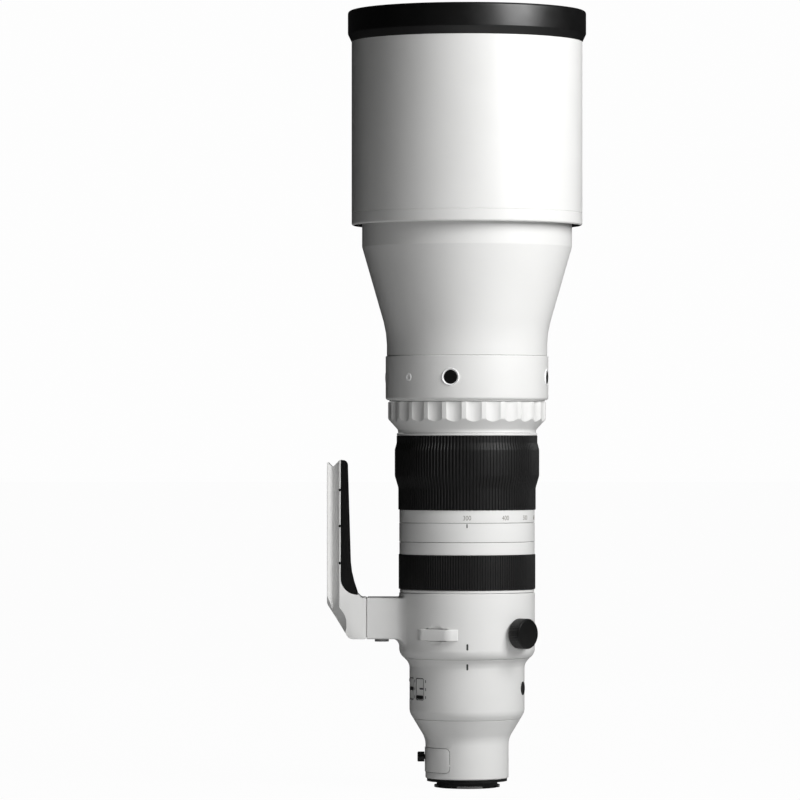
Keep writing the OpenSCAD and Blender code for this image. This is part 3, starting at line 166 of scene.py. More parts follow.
def ball(radius, at):
    """A sphere, placed and stretched by a matrix."""
    bm = bmesh.new()
    bmesh.ops.create_uvsphere(bm, u_segments=96, v_segments=64, radius=radius * MM, matrix=at)
    return bm


def tidy(bm):
    """Joins points that lie on each other, and turns the faces outwards."""
    bmesh.ops.remove_doubles(bm, verts=bm.verts[:], dist=1e-6)
    bmesh.ops.recalc_face_normals(bm, faces=bm.faces[:])
    return bm


def gathered(*shapes):
    """One bmesh that holds several shapes."""
    whole = bmesh.new()
    for shape in shapes:
        mesh = bpy.data.meshes.new("loose")
        shape.to_mesh(mesh)
        shape.free()
        whole.from_mesh(mesh)
        bpy.data.meshes.remove(mesh)
    return whole


def carved(shape, tool, operation="DIFFERENCE", finish=None):
    """Shape cut by tool, or joined with it. The tool's faces take a finish's number."""
    made = []
    for bm in (shape, tool):
        if bm is tool and finish is not None:
            for face in bm.faces:
                face.material_index = finish
        mesh = bpy.data.meshes.new("loose")
        bm.to_mesh(mesh)
        bm.free()
        for _ in range(3):
            mesh.materials.append(None)
        obj = bpy.data.objects.new("loose", mesh)
        bpy.context.scene.collection.objects.link(obj)
        made.append(obj)
    cut = made[0].modifiers.new("carve", "BOOLEAN")
    cut.operation = operation
    cut.solver = "EXACT"
    cut.object = made[1]
    cut.material_mode = "INDEX"
    result = bmesh.new()
    result.from_object(made[0], bpy.context.evaluated_depsgraph_get())
    for obj in made:
        mesh = obj.data
        bpy.data.objects.remove(obj)
        bpy.data.meshes.remove(mesh)
    return result


def eased(bm, width, angle=35, segments=2, where=None):
    """Bevels the edges that turn by more than an angle."""
    edges = [
        e for e in bm.edges
        if len(e.link_faces) == 2 and e.calc_face_angle(0) > math.radians(angle)
        and (where is None or where((e.verts[0].co + e.verts[1].co) / 2 / MM))
    ]
    bmesh.ops.bevel(
        bm, geom=edges, offset=width * MM, offset_type="OFFSET", affect="EDGES",
        segments=segments, profile=0.5, material=-1, clamp_overlap=True,
    )
    return bm


def finished(bm, index, where):
    """Gives a finish's number to the faces whose middle, in millimetres, passes a test."""
    for face in bm.faces:
        if where(face.calc_center_median() / MM):
            face.material_index = index
    return bm


def ribbed(corners, count, depth, base, at=None):
    """A turned sleeve with ribs along its axis, cut to a depth below its outside.

    Each rib takes four columns of points, two on its crest and two in the valley
    beside it. Each pair is drawn apart, so that the flanks are steep.
    """
    columns = 4
    lean = 0.12
    steps = count * columns
    bm = turned(corners, steps)
    for v in bm.verts:
        radius = math.hypot(v.co.x, v.co.y)
        if radius <= base * MM:
            continue
        angle = math.atan2(v.co.y, v.co.x)
        column = round(angle / FULL * steps) % columns
        angle += (-lean, lean, -lean, lean)[column] * FULL / steps
        if column > 1:
            radius -= depth * MM
        v.co.x = radius * math.cos(angle)
        v.co.y = radius * math.sin(angle)
    if at is not None:
        bm.transform(at)
    return bm


def piece(name, bm, finishes, *stands_for, body=None, slot=None, smooth=32):
    """Makes a piece of the lens, which rides as the node that it stands for does."""
    bmesh.ops.remove_doubles(bm, verts=bm.verts[:], dist=1e-7)
    mesh = bpy.data.meshes.new(name)
    bm.to_mesh(mesh)
    bm.free()
    mesh.shade_smooth()
    mesh.set_sharp_from_angle(angle=math.radians(smooth))
    for finish in finishes:
        mesh.materials.append(finish)
    obj = bpy.data.objects.new(name, mesh)
    bpy.context.scene.collection.objects.link(obj)
    if body is None:
        body = body_names[nodes[stands_for[0]].parent]
    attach(obj, body)
    if stands_for:
        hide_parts(*stands_for)
        slot = slot or node_slots[stands_for[0]]
    return obj


# Finishes


class Wire:
    """A shader value that adds, scales and compares as a number does. | takes the larger."""

    def __init__(self, graph, socket):
        self.graph = graph
        self.socket = socket

    def maths(self, operation, *values):
        return self.graph.node("Math", dict(enumerate(values)), operation=operation)

    def __add__(self, other):
        return self.maths("ADD", self, other)

    def __sub__(self, other):
        return self.maths("SUBTRACT", self, other)

    def __mul__(self, other):
        return self.maths("MULTIPLY", self, other)

    def __gt__(self, other):
        return self.maths("GREATER_THAN", self, other)

    def __lt__(self, other):
        return self.maths("LESS_THAN", self, other)

    def __or__(self, other):
        return self.maths("MAXIMUM", self, other)

    __radd__ = __add__


class Graph:
    """A tree of shader nodes, all made by one method."""

    def __init__(self, tree):
        self.tree = tree

    def node(self, kind, sockets=None, out=0, **settings):
        """A node of one type, with its settings, then its sockets' values or links."""
        made = self.tree.nodes.new("ShaderNode" + kind)
        for key, value in settings.items():
            setattr(made, key, value)
        for key, value in (sockets or {}).items():
            if isinstance(value, Wire):
                self.tree.links.new(value.socket, made.inputs[key])
            else:
                made.inputs[key].default_value = value
        return Wire(self, made.outputs[out])

    def show(self, wire, output):
        """Links a shader to the tree's output node of that name."""
        self.tree.links.new(wire.socket, self.tree.nodes[output].inputs["Surface"])


class Finish(Graph):
    """A procedural material on object coordinates."""

    def __init__(self, name, **fixed):
        self.material = bpy.data.materials.new(name)
        self.material.use_nodes = True
        super().__init__(self.material.node_tree)
        self.shader = self.tree.nodes["Principled BSDF"]
        for socket, value in fixed.items():
            self.shader.inputs[socket.replace("_", " ")].default_value = value
        self.place = self.node("TexCoord", out="Object")

    def noise(self, size, detail=3.0, rough=0.55):
        """Noise whose patches are about a size in millimetres."""
        return self.node("TexNoise", {"Vector": self.place, "Scale": 1 / (size * MM),
                                      "Detail": detail, "Roughness": rough})

    def cells(self, size):
        """Round cells of about a size in millimetres."""
        return self.node("TexVoronoi", {"Vector": self.place, "Scale": 1 / (size * MM)})

    def axis(self, name):
        """One coordinate of the point, in metres."""
        return self.node("SeparateXYZ", {0: self.place}, out=name)

    def blend(self, factor, low, high):
        """A colour between two."""
        return self.node("Mix", {0: factor, 6: low, 7: high}, out=2, data_type="RGBA")

    def surface(self, height=None, depth=0.01, **links):
        """Joins values to the shader. Height is worked into the normal, depth in millimetres."""
        if height is not None:
            links["Normal"] = self.node("Bump", {"Height": height, "Distance": depth * MM,
                                                 "Strength": 1.0})
        for socket, value in links.items():
            self.tree.links.new(value.socket, self.shader.inputs[socket.replace("_", " ")])
        return self.material


def grey(value, tint=(1, 1, 1)):
    """A grey, or a grey with a tint, as a colour socket takes it."""
    return (value * tint[0], value * tint[1], value * tint[2], 1)


def painted(name, low, high, rough, grain=0.35, depth=0.004, **fixed):
    """Satin paint or moulded plastic: soft clouds of tone, and a fine grain."""
    finish = Finish(name, **fixed)
    cloud = finish.noise(38, 4)
    fine = finish.noise(grain, 2, 0.6)
    tone = cloud * 0.7 + fine * 0.3
    return finish.surface(
        height=fine, depth=depth,
        Base_Color=finish.blend(tone, low, high),
        Roughness=rough + (cloud - 0.5) * 0.12 + (fine - 0.5) * 0.1,
    )


def rubbery(name, low, high, rough, grain=0.22, depth=0.02, **fixed):
    """Rubber: pebbled grain, a little pale dust, and an uneven sheen."""
    dust = 0.35
    finish = Finish(name, **fixed)
    pebble = finish.cells(grain)
    cloud = finish.noise(14, 5, 0.65)
    tone = cloud * dust + pebble * (1 - dust)
    return finish.surface(
        height=pebble, depth=depth,
        Base_Color=finish.blend(tone, low, high),
        Roughness=rough + (cloud - 0.5) * 0.16,
    )


def metal(name, low, high, rough):
    """Machined metal: fine marks that run round the axis, and faint stains."""
    mark_size = 1.2
    brushed = (1, 1, 12)
    finish = Finish(name, Metallic=1.0)
    squeezed = finish.node("Mapping", {"Vector": finish.place, "Scale": brushed})
    marks = finish.node("TexNoise", {"Vector": squeezed, "Scale": 1 / (mark_size * MM),
                                     "Detail": 4.0})
    stain = finish.noise(9, 4)
    return finish.surface(
        height=marks, depth=0.003,
        Base_Color=finish.blend(stain * 0.5 + marks * 0.5, low, high),
        Roughness=rough + (marks - 0.5) * 0.16 + (stain - 0.5) * 0.1,
    )


def clear(name, tint, coating):
    """Coated optical glass with faint dust."""
    finish = Finish(name, IOR=1.52, Transmission_Weight=1.0, Coat_Roughness=0.02)
    cloud = finish.noise(22, 3)
    dust = finish.noise(0.5, 1) > 0.79
    return finish.surface(
        Base_Color=finish.blend(cloud, tint, coating),
        Roughness=0.01 + dust * 0.15 + cloud * 0.01,
        Coat_Weight=0.25 + cloud * 0.2,
    )


def split_by_height(name, edges, inside, outside):
    """Two tones on one node: one between two heights and past a radius, one elsewhere."""
    low, high, radius = edges
    finish = Finish(name)
    x, y, z = finish.axis("X"), finish.axis("Y"), finish.axis("Z")
    belt = (z > low * MM) * (z < high * MM) * ((x * x + y * y) > (radius * MM) ** 2)
    fine = finish.noise(0.35, 2, 0.6)
    cloud = finish.noise(30, 4)
    dark = finish.blend(cloud, *outside)
    pale = finish.blend(cloud * 0.7 + fine * 0.3, *inside)
    return finish.surface(
        height=fine, depth=0.004, Base_Color=finish.blend(belt, dark, pale),
        Roughness=0.42 + (cloud - 0.5) * 0.12,
    )


WHITE = (grey(0.72, (1, 1, 0.985)), grey(0.78, (1, 0.998, 0.985)))
COOL = (0.9, 1, 0.95)
WARM = (1.05, 1, 0.9)
lens_white = painted("lens_white", *WHITE, 0.4)
white_moulding = painted("white_moulding", grey(0.7), grey(0.76), 0.36, depth=0.008)
# A paler white than the paint for the button bezels and their chamfers: partly their own white,
# partly a painted reflection of their glossy bevels.
bezel_white_and_painted_reflection = painted("bezel_white_and_painted_reflection", grey(0.84), grey(0.9), 0.25, depth=0.003)
# A white paler than the paint for the small raised ring: partly its own white, partly a painted
# reflection of its glossy bevel.
white_mark_and_painted_reflection = painted("white_mark_and_painted_reflection", grey(0.92), grey(0.97), 0.3, depth=0.002)
ring_rubber = rubbery("ring_rubber", grey(0.0015), grey(0.008), 0.5, Specular_IOR_Level=0.4)
rim_rubber = rubbery("rim_rubber", grey(0.001), grey(0.0025), 0.39, grain=0.4, depth=0.006,
                     Specular_IOR_Level=0.66)
grip_rubber = rubbery("grip_rubber", grey(0.0015), grey(0.004), 0.36, grain=0.3, depth=0.008,
                      Specular_IOR_Level=0.4)
gasket_rubber = rubbery("gasket_rubber", grey(0.0015), grey(0.005), 0.55,
                        Specular_IOR_Level=0.3)
knob_black = painted("knob_black", grey(0.002), grey(0.005), 0.34, grain=0.25)
button_black = painted("button_black", grey(0.0015), grey(0.005), 0.45, grain=0.3, depth=0.01,
                       Specular_IOR_Level=0.35)
mark_ink = painted("mark_ink", grey(0.03, COOL), grey(0.05, COOL), 0.5)
number_ink = painted("number_ink", grey(0.2, WARM), grey(0.26, WARM), 0.5)
# Near-black for the walls of gaps, bores and holes in the white parts: painted shade.
recess_painted_shade = painted("recess_painted_shade", grey(0.02), grey(0.04), 0.7)
# Dark grey for the walls of the switch grooves and the button bore: painted shade.
groove_painted_shade = painted("groove_painted_shade", grey(0.1), grey(0.15), 0.6)
hood_flock = rubbery("hood_flock", grey(0.004), grey(0.012), 0.95, grain=0.16, depth=0.08)
baffle_black = painted("baffle_black", grey(0.008), grey(0.018), 0.62, depth=0.01)
mount_steel = metal("mount_steel", grey(0.3), grey(0.4, (1, 0.99, 0.97)), 0.24)
screw_steel = metal("screw_steel", grey(0.5), grey(0.66), 0.3)
dark_steel = metal("dark_steel", grey(0.16), grey(0.24), 0.34)
cam_alloy = metal("cam_alloy", grey(0.4), grey(0.52), 0.36)
dark_alloy = painted("dark_alloy", grey(0.02), grey(0.035), 0.45, Metallic=0.4)
contact_gold = metal("contact_gold", (0.72, 0.5, 0.17, 1), (0.9, 0.66, 0.27, 1), 0.2)
board_green = painted("board_green", (0.01, 0.08, 0.03, 1), (0.02, 0.14, 0.05, 1), 0.4,
                      grain=1.2)
optical_glass = clear("optical_glass", (0.96, 0.99, 0.97, 1), (0.9, 0.97, 0.95, 1))
front_coating = clear("front_coating", (0.93, 0.98, 0.96, 1), (0.86, 0.95, 0.97, 1))
WHITE_BELT = (150.2, 152.7, 52)
main_tube_finish = split_by_height(
    "main_tube_finish", WHITE_BELT, WHITE, (grey(0.02), grey(0.035)))

SLOT_FINISH = {
    "white_paint": lens_white, "white_plastic": white_moulding, "black_rubber": gasket_rubber,
    "black_plastic": baffle_black, "dark_alloy": dark_alloy, "grey_alloy": cam_alloy,
    "bright_steel": screw_steel, "dark_steel": dark_steel, "gold": contact_gold,
    "board_green": board_green, "optical_glass": optical_glass, "front_glass": front_coating,
}
for node, obj in nodes.items():
    for row in obj.material_slots:
        row.material = SLOT_FINISH[node_slots[node]]
for row in nodes["main_tube"].material_slots:
    row.material = main_tube_finish


# Mount

CLAW_ANGLE = -85
CLAW_SWEEP = 46
NECK_R = 24.2
NECK_HOLE_ANGLE = -38.5
SCREW_CIRCLE_R = 28.6


def claw(turn):
    """One claw of the bayonet, turned by an angle from the first."""
    bm = bmesh.new()
    outline(bm, [(23.8, -4.7), (26.1, -4.7, 0.3), (26.1, -2.8, 0.2), (23.8, -2.8)],
            lambda r, z: mm(r, 0, z))
    start = bmesh.ops.contextual_create(bm, geom=bm.edges[:])["faces"]
    bmesh.ops.spin(bm, geom=start, cent=(0, 0, 0), axis=(0, 0, 1),
                   angle=math.radians(CLAW_SWEEP), steps=24)
    bm.transform(Matrix.Rotation(
        math.radians(CLAW_ANGLE + turn - 90 - CLAW_SWEEP / 2), 4, "Z"))
    return tidy(bm)


def mount():
    """The bayonet: a steel flange with screw sinks, a dark neck with a small hole, and claws."""
    bm = turned([
        (22, 2.4), (30.6, 2.4, 0.15), (30.6, 0, 0.3), (26.6, 0, 0.1), (26.6, 0.4),
        (NECK_R, 0.4), (NECK_R, -5, 0.35), (22, -5, 0.25),
    ])
    # The neck, its end and its bore take the black finish; the flange and the claws stay steel.
    bm = finished(bm, 1, lambda p: p.z < 0.45 and p.xy.length < NECK_R + 0.1)
    bm = carved(bm, gathered(*[claw(90 * i) for i in range(4)]), "UNION")
    sinks = [rod(1.7, 1.7, -0.6, 1, facing(60 * i, SCREW_CIRCLE_R) @ upright(), 24)
             for i in range(6)]
    bm = carved(bm, gathered(*sinks))
    return carved(bm, rod(0.5, 0.5, 23, 26, facing(NECK_HOLE_ANGLE, 0, 0, -1.9), 24))


piece("bayonet", mount(), [mount_steel, baffle_black], "bayonet_mount")


# Rear tube and the drop-in filter

PANEL_EDGE = -13.7
PANEL_REACH = 27.4
PANEL_CORNERS = [
    (PANEL_EDGE - PANEL_REACH, 7.7, 0.5), (PANEL_EDGE, 7.7, 3.5),
    (PANEL_EDGE, 27.1, 3.5), (PANEL_EDGE - PANEL_REACH, 27.1, 0.5),
]
FILTER_SHAFT = Matrix.Translation(mm(0, 0, 19.3))
RING_LOW, RING_TOP = 13.6, 23.2


def panel_prism(shrink):
    """The outline of the filter panel pushed right through the tube, drawn in all round."""
    corners = [
        (x - shrink if x > -20 else x, z + (shrink if z < 20 else -shrink), max(r - shrink, 0.3))
        for x, z, r in PANEL_CORNERS
    ]
    return prism(corners, lambda x, z: mm(x, -45, z), (0, 90, 0))


def rear_tube():
    """Tube behind the barrel, with a window for the filter panel."""
    bm = turned([
        (22, 2.4), (33.1, 2.4, 1.2), (33.1, 33.8, 15.5), (42.7, 49.72, 0.3), (40, 49.72),
        (30.3, 33.7), (30.3, 5.6), (22, 5.6),
    ])
    # The window's cut walls take the near-black finish: painted shade in the gap round the
    # filter panel.
    bm = carved(bm, panel_prism(-0.2), finish=1)
    return eased(bm, 0.12, angle=60,
                 where=lambda p: p.x < -13 and 7 < p.z < 28 and p.xy.length > 32.9)


def filter_drawer():
    """White panel outside, and the black ring that carries the filter inside."""
    cap = turned([(30.8, 1), (33.6, 1), (33.6, 34), (30.8, 34)])
    cap = carved(cap, panel_prism(0.15), "INTERSECT")
    cap = eased(cap, 0.3, angle=50, segments=3, where=lambda p: p.xy.length > 33.4)
    ring = turned([
        (18.85, RING_LOW), (25, RING_LOW, 0.4), (25, RING_TOP, 0.4), (20.25, RING_TOP),
        (20.25, 15), (18.85, 15),
    ], 128)
    neck = prism([(-31.2, -8), (-29, -14), (-24, -14), (-24, 14), (-29, 14), (-31.2, 8)],
                 lambda x, y: mm(x, y, RING_LOW), (0, 0, RING_TOP - RING_LOW))
    carrier = carved(ring, neck, "UNION")
    drawer = carved(cap, carrier, "UNION", finish=1)
    return carved(drawer, rod(2.05, 2.05, -36, -26.5, FILTER_SHAFT, 32), finish=1)


def filter_knob():
    """Flat knob with round ends, on the shaft that locks the drawer."""
    handle = slab(16, 7.5, 3.6, -39.4, -33.9, FILTER_SHAFT)
    handle = eased(handle, 0.7, angle=60, segments=3, where=lambda p: p.x < -39)
    return gathered(handle, rod(2, 2, -34.2, -26.7, FILTER_SHAFT, 32))


# The tube's second finish is the painted shade on its window walls.
piece("rear_tube_shell", rear_tube(), [lens_white, recess_painted_shade], "rear_tube")
piece("filter_holder_cap", filter_drawer(), [lens_white, baffle_black], "filter_drawer")
piece("filter_lock_knob", filter_knob(), [knob_black], "filter_knob")


# Rear barrel, its switches and its button

BARREL_R = 45.8
BARREL = [
    (40, 49.88), (42.79, 49.88, 0.3), (BARREL_R, 54.86, 9), (BARREL_R, 93.8, 8.5),
    (50.2, 98.1, 0.4), (46.5, 98.05), (46.5, 150.4), (43.6, 150.4), (43.6, 52), (40, 52),
]
SWITCH_ANGLES = [-55 - 19 * i for i in range(4)]
SWITCH_Z = 74.1
SWITCH_REACH = 6.3
THUMB_RESTS = (-SWITCH_REACH, 0, SWITCH_REACH, -SWITCH_REACH)
SET_BUTTON_ANGLE = 75.5


def rear_barrel():
    """Barrel with a sunk floor in a groove for each switch, and the button's bore; the grooves
    and the bore are painted dark grey as painted shade.
    """
    bm = turned(BARREL, FINE_STEPS)
    for angle in SWITCH_ANGLES:
        at = facing(angle, 0, 0, SWITCH_Z)
        groove = carved(slab(11, 17.6, 1.6, 44.4, 48, at), slab(9.5, 16.1, 1.1, 44, 49, at))
        bm = carved(bm, groove, finish=1)
        bm = carved(bm, slab(9.7, 16.3, 1.2, 45.35, 48, at), finish=0)
    bore = rod(5.5, 5.5, 42, 50, facing(SET_BUTTON_ANGLE, 0, 0, SWITCH_Z))
    return carved(bm, bore, finish=1)


def switch_thumb(at):
    """Low plate with three ridges across it."""
    plate = eased(slab(8.8, 2.6, 0.8, 45.4, 45.7, at), 0.12, angle=50, segments=2)
    ridges = [slab(7.6, 0.3, 0.1, 45.6, 45.85, at @ Matrix.Translation(mm(0, 0, z)))
              for z in (-0.7, 0, 0.7)]
    return carved(plate, gathered(*ridges), "UNION")


def set_button():
    """Round button with a hidden collar and a shallow dish."""
    bm = turned([
        (0, 0), (6.2, 0), (6.2, 1.2), (5.2, 1.2), (5.2, 4.3, 0.5), (2.6, 4.15, 3), (0, 4.1),
    ], BUTTON_STEPS)
    bm.transform(facing(SET_BUTTON_ANGLE, 42, 0, SWITCH_Z) @ lying())
    return bm


# The barrel's second finish is the painted shade in its grooves and bore.
piece("rear_barrel_shell", rear_barrel(), [lens_white, groove_painted_shade], "rear_barrel")
for i, (angle, rest) in enumerate(zip(SWITCH_ANGLES, THUMB_RESTS), 1):
    thumb = switch_thumb(facing(angle, 0, 0, SWITCH_Z + rest))
    piece(f"switch_thumb_{i}", thumb, [button_black], f"switch_{i}")
piece("focus_preset_button", set_button(), [button_black], "focus_set_button")


# Tripod collar

COLLAR_R = 54
ARM_LOW, ARM_TOP, ARM_HALF = 113.4, 146.2, 20.8
ARM_END = -79.6
ARM_STEP = 0.7
ARM_STEPS = 46
SIDE_FLARE_R = 10
SIDE_FLARE_START = -56.1
SIDE_FLARE_REACH = 8.8
TOP_FILLET_R = 2.2
FOOT_FILLET_R = 6.5
ARM_MIDDLE = ARM_LOW + (ARM_TOP - ARM_LOW) * 0.6
LUG_ANGLES = (-27, -153)
LUG_Z = 117.7
LUG_HALF = 4.4


def straight_arm():
    """The arm as many short rings of faces along X, so that it can be flared."""
    across = list(range(-18, 19, 3))
    bm = bmesh.new()
    outline(bm, [
        (-ARM_HALF, ARM_LOW, 1.4), *[(y, ARM_LOW) for y in across], (ARM_HALF, ARM_LOW, 1.4),
        (ARM_HALF, ARM_TOP, 1.4), *[(y, ARM_TOP) for y in reversed(across)],
        (-ARM_HALF, ARM_TOP, 1.4),
    ], lambda y, z: mm(ARM_END, y, z))
    bmesh.ops.contextual_create(bm, geom=bm.edges[:])
    front = bm.edges[:]
    for _ in range(ARM_STEPS):
        made = bmesh.ops.extrude_edge_only(bm, edges=front)["geom"]
        front = [item for item in made if isinstance(item, bmesh.types.BMEdge)]
        moved = [item for item in made if isinstance(item, bmesh.types.BMVert)]
        bmesh.ops.translate(bm, vec=mm(ARM_STEP, 0, 0), verts=moved)
    bmesh.ops.contextual_create(bm, geom=front)
    return eased(tidy(bm), 1.3, angle=60, segments=4, where=lambda p: p.x < -79)


def fillet(gap, radius):
    """How far a rounding of that radius stands out at a gap from the wall it meets."""
    left = radius - min(max(gap, 0.0), radius)
    return radius - math.sqrt(max(0.0, radius ** 2 - left ** 2))


def flared_arm():
    """The arm, spread at its sides, top and foot where it runs into the collar."""
    bm = straight_arm()
    for v in bm.verts:
        x, y, z = v.co / MM
        side = 0.0
        if x > SIDE_FLARE_START:
            into = min(x - SIDE_FLARE_START, SIDE_FLARE_REACH)
            side = SIDE_FLARE_R - math.sqrt(SIDE_FLARE_R ** 2 - into ** 2)
        y *= (ARM_HALF + side) / ARM_HALF
        gap = -x - math.sqrt(COLLAR_R ** 2 - min(abs(y), 40) ** 2)
        if z < ARM_MIDDLE:
            spread = 1 + fillet(gap, FOOT_FILLET_R) / (ARM_MIDDLE - ARM_LOW)
        else:
            spread = 1 + fillet(gap, TOP_FILLET_R) / (ARM_TOP - ARM_MIDDLE)
        z = ARM_MIDDLE + (z - ARM_MIDDLE) * spread
        v.co = mm(x, y, z)
    return carved(tidy(bm), turned([(20, 100), (50, 100), (50, 160), (20, 160)]))


def lug_bar(at):
    """The bar of a strap lug, as a low bridge."""
    bm = prism([
        (57.2, -12.4, 5), (57.2, 12, 9), (51.5, 17.9), (48.4, 17.9), (48.4, 10), (54.6, 10, 0.5),
        (54.6, -10, 0.5), (48.4, -10), (48.4, -16.8), (52.8, -16.8, 0.8),
    ], lambda x, y: mm(x, y, -LUG_HALF), (0, 0, 2 * LUG_HALF))
    bm = eased(bm, 0.9, angle=60, segments=4, where=lambda p: p.x > 51.5)
    bm.transform(at)
    return bm


def collar():
    """Collar with its arm, and two strap lugs over scoops."""
    wall = [(COLLAR_R, z) for z in range(106, 131, 3)]
    bm = turned([
        (46.55, 98.25), (50.4, 98.25, 0.5), (COLLAR_R, 101.7, 8.5), *wall,
        (COLLAR_R, 150.1, 0.8), (46.55, 150.1),
    ], FINE_STEPS)
    bm = carved(bm, flared_arm(), "UNION")
    for angle in LUG_ANGLES:
        at = facing(angle, 0, 0, LUG_Z)
        scoop = at @ Matrix.Translation(mm(72, 0, 0)) @ Matrix.Diagonal((20, 22, 17, 1))
        bm = carved(bm, ball(1, scoop))
        bm = carved(bm, slab(20, 10.2, 1.5, 48.8, 60, at))
        bm = carved(bm, lug_bar(at), "UNION")
    return bm


piece("collar_shell", collar(), [lens_white], "tripod_collar")


# Tripod foot, its pad and the collar's knob

FOOT_BACK = -111
FOOT_TOP = 255.5
PAST_FOOT = -116
HEEL_CUT = 6.9
HEEL_BACK, HEEL_DOWN = 0.844, 0.536
HEEL_BORDER = [
    (-112, 151), (-108.6, 147.4), (-105.4, 144), (-100.8, 138.3), (-97.2, 133.4),
    (-95.6, 128.7), (-95.4, 123.4), (-96.4, 117.6), (-99, 112), (-130, 100), (-130, 151),
]
THREADS = ((3.175, 8.5, 165.4), (4.76, 10, 193.4), (3.175, 9.2, 221.4))
BOLT_PLACES = [(y, z) for y in (-9, 9) for z in (123.4, 135.4)]
PIP_HEIGHTS = (231.6, 203.1, 173.7)


def foot():
    """Foot with dovetail grooves, slanted heel, tripod threads and bolt holes."""
    bm = prism([
        (-79.9, ARM_LOW, 1.5), (-93.3, ARM_LOW, 5), (FOOT_BACK, 141.3, 5),
        (FOOT_BACK, FOOT_TOP, 0.5), (-100.1, FOOT_TOP, 0.3), (-100.1, 148.65, 13),
        (-86.5, 148.65, 0.3), (-84.3, ARM_TOP, 3), (-79.9, ARM_TOP, 1.5),
    ], lambda x, z: mm(x, -ARM_HALF, z), (0, 2 * ARM_HALF, 0))
    bm = eased(bm, 0.5, angle=60, segments=2,
               where=lambda p: abs(p.y) > 20 and (p.x > -100 or p.z > 250))
    for side in (-1, 1):
        groove = prism([
            (-100.3, 22), (PAST_FOOT, 22), (PAST_FOOT, 19, 0.01), (-110.3, 19),
            (-106.6, 15.3, 0.4), (-101.1, 20.8),
        ], lambda x, y, side=side: mm(x, side * y, 128), (0, 0, 140))
        bm = carved(bm, groove)
    end_bevel = prism([
        (-100.9, 256), (-100.9, 260), (PAST_FOOT, 260), (PAST_FOOT, 253.3), (-110.3, 253.3),
        (-106.6, 249.6, 0.4), (-100.9, 255.3),
    ], lambda x, z: mm(x, -24, z), (0, 48, 0))
    bm = carved(bm, end_bevel)
    for side in (-1, 1):
        facet = prism(HEEL_BORDER, lambda x, z, side=side: mm(x, side * (ARM_HALF + 0.01), z),
                      (-HEEL_BACK * HEEL_CUT, -side * HEEL_CUT, -HEEL_DOWN * HEEL_CUT))
        bm = carved(bm, facet)
    threads = [rod(r, r, -115, FOOT_BACK + depth, Matrix.Translation(mm(0, 0, z)), 48)
               for r, depth, z in THREADS]
    bolt_holes = [rod(4.2, 4.2, -115, -92, Matrix.Translation(mm(0, y, z)), 48)
                  for y, z in BOLT_PLACES]
    bm = carved(bm, gathered(*threads), finish=1)
    return carved(bm, gathered(*bolt_holes), finish=1)


def foot_pad():
    """Rubber grip that swells towards the arm, with three pips on each side."""
    pad = prism([
        (-100.05, 255.2, 0.4), (-95.3, 255.2, 4), (-92.6, 166, 55), (-86.9, 148.7),
        (-100.05, 148.7, 13),
    ], lambda x, z: mm(x, -20.6, z), (0, 41.2, 0))
    pad = eased(pad, 4, angle=60, segments=8,
                where=lambda p: abs(p.y) > 20 and p.x > -96.5 and p.z > 149.5)
    across = Matrix.Rotation(math.radians(90), 4, "Z")
    pips = [rod(1, 1, -0.25, 0.2, Matrix.Translation(mm(-100.7, side * 20.9, z)) @ across, 24)
            for side in (-1, 1) for z in PIP_HEIGHTS]
    return gathered(pad, *pips)


piece("foot_body", foot(), [lens_white, dark_steel], "tripod_foot")
piece("foot_pad", foot_pad(), [grip_rubber], "foot_grip")
piece("collar_lock_knob", ribbed([
    (0, -7.7), (3, -7.7), (3, 0), (11, 0, 0.5), (12, 1.5, 0.5), (12, 10.4, 0.3),
    (11.1, 11.4, 0.3), (0, 11.4),
], 56, 0.35, 11.9, at=facing(46.7, 55, 0, 118.5) @ lying()), [knob_black], "collar_knob")


# Focus ring, index band and zoom ring

piece("focus_ring_sleeve", turned([
    (50.55, 152.8), (53, 152.8), (53, 180.5), (53.8, 180.5, 0.3), (53.8, 190.35, 0.35),
    (50.55, 190.35),
]), [lens_white], "focus_ring")
piece("focus_ring_rubber", ribbed([
    (53.05, 152.9), (54.4, 152.9, 0.4), (54.4, 180.45, 0.4), (53.05, 180.45),
], 160, 0.42, 53.6), [ring_rubber], "focus_rubber")
piece("index_ring", turned([
    (50.55, 190.65), (53.9, 190.65, 0.35), (53.9, 205.55, 0.35), (50.55, 205.55),
]), [lens_white], "index_band")
piece("zoom_ring_sleeve", turned([
    (50.55, 205.85), (53.8, 205.85, 0.35), (53.8, 215.8, 0.3), (53, 215.8), (53, 274.8),
    (55.8, 274.8, 0.3), (55.8, 276.6, 0.4), (50.55, 276.6),
]), [lens_white], "zoom_ring")
piece("zoom_ring_rubber", ribbed([
    (53.05, 215.85), (54.7, 215.85, 0.5), (54.7, 233.2, 6), (57.5, 242.8, 6), (57.5, 263.5, 4),
    (56, 269, 4), (56, 274.75, 0.5), (53.05, 274.75),
], 132, 0.6, 53.8), [ring_rubber], "zoom_rubber")


# Function ring and button band

FLUTES = 25
GRIP_STEPS = 600
BAND_STEPS = 360
HOLD_Z = 320.8
HOLD_ANGLES = [-11.6 + 90 * i for i in range(4)]


def function_grip():
    """Ring with a cone at its foot, and finger flutes round its wide part."""
    bm = turned([
        (50.55, 276.8), (54.9, 276.8, 0.3), (54.9, 279.2, 3), (62.8, 287.9, 2.5),
        (62.8, 301.4, 0.6), (54, 301.4), (54, 284.8), (50.55, 284.8),
    ], GRIP_STEPS)
    flutes = [rod(12, 12, 0, 24, facing(5 + 360 / FLUTES * i, 72.83, 0, 279.2) @ upright(), 96)
              for i in range(FLUTES)]
    return carved(bm, gathered(*flutes))


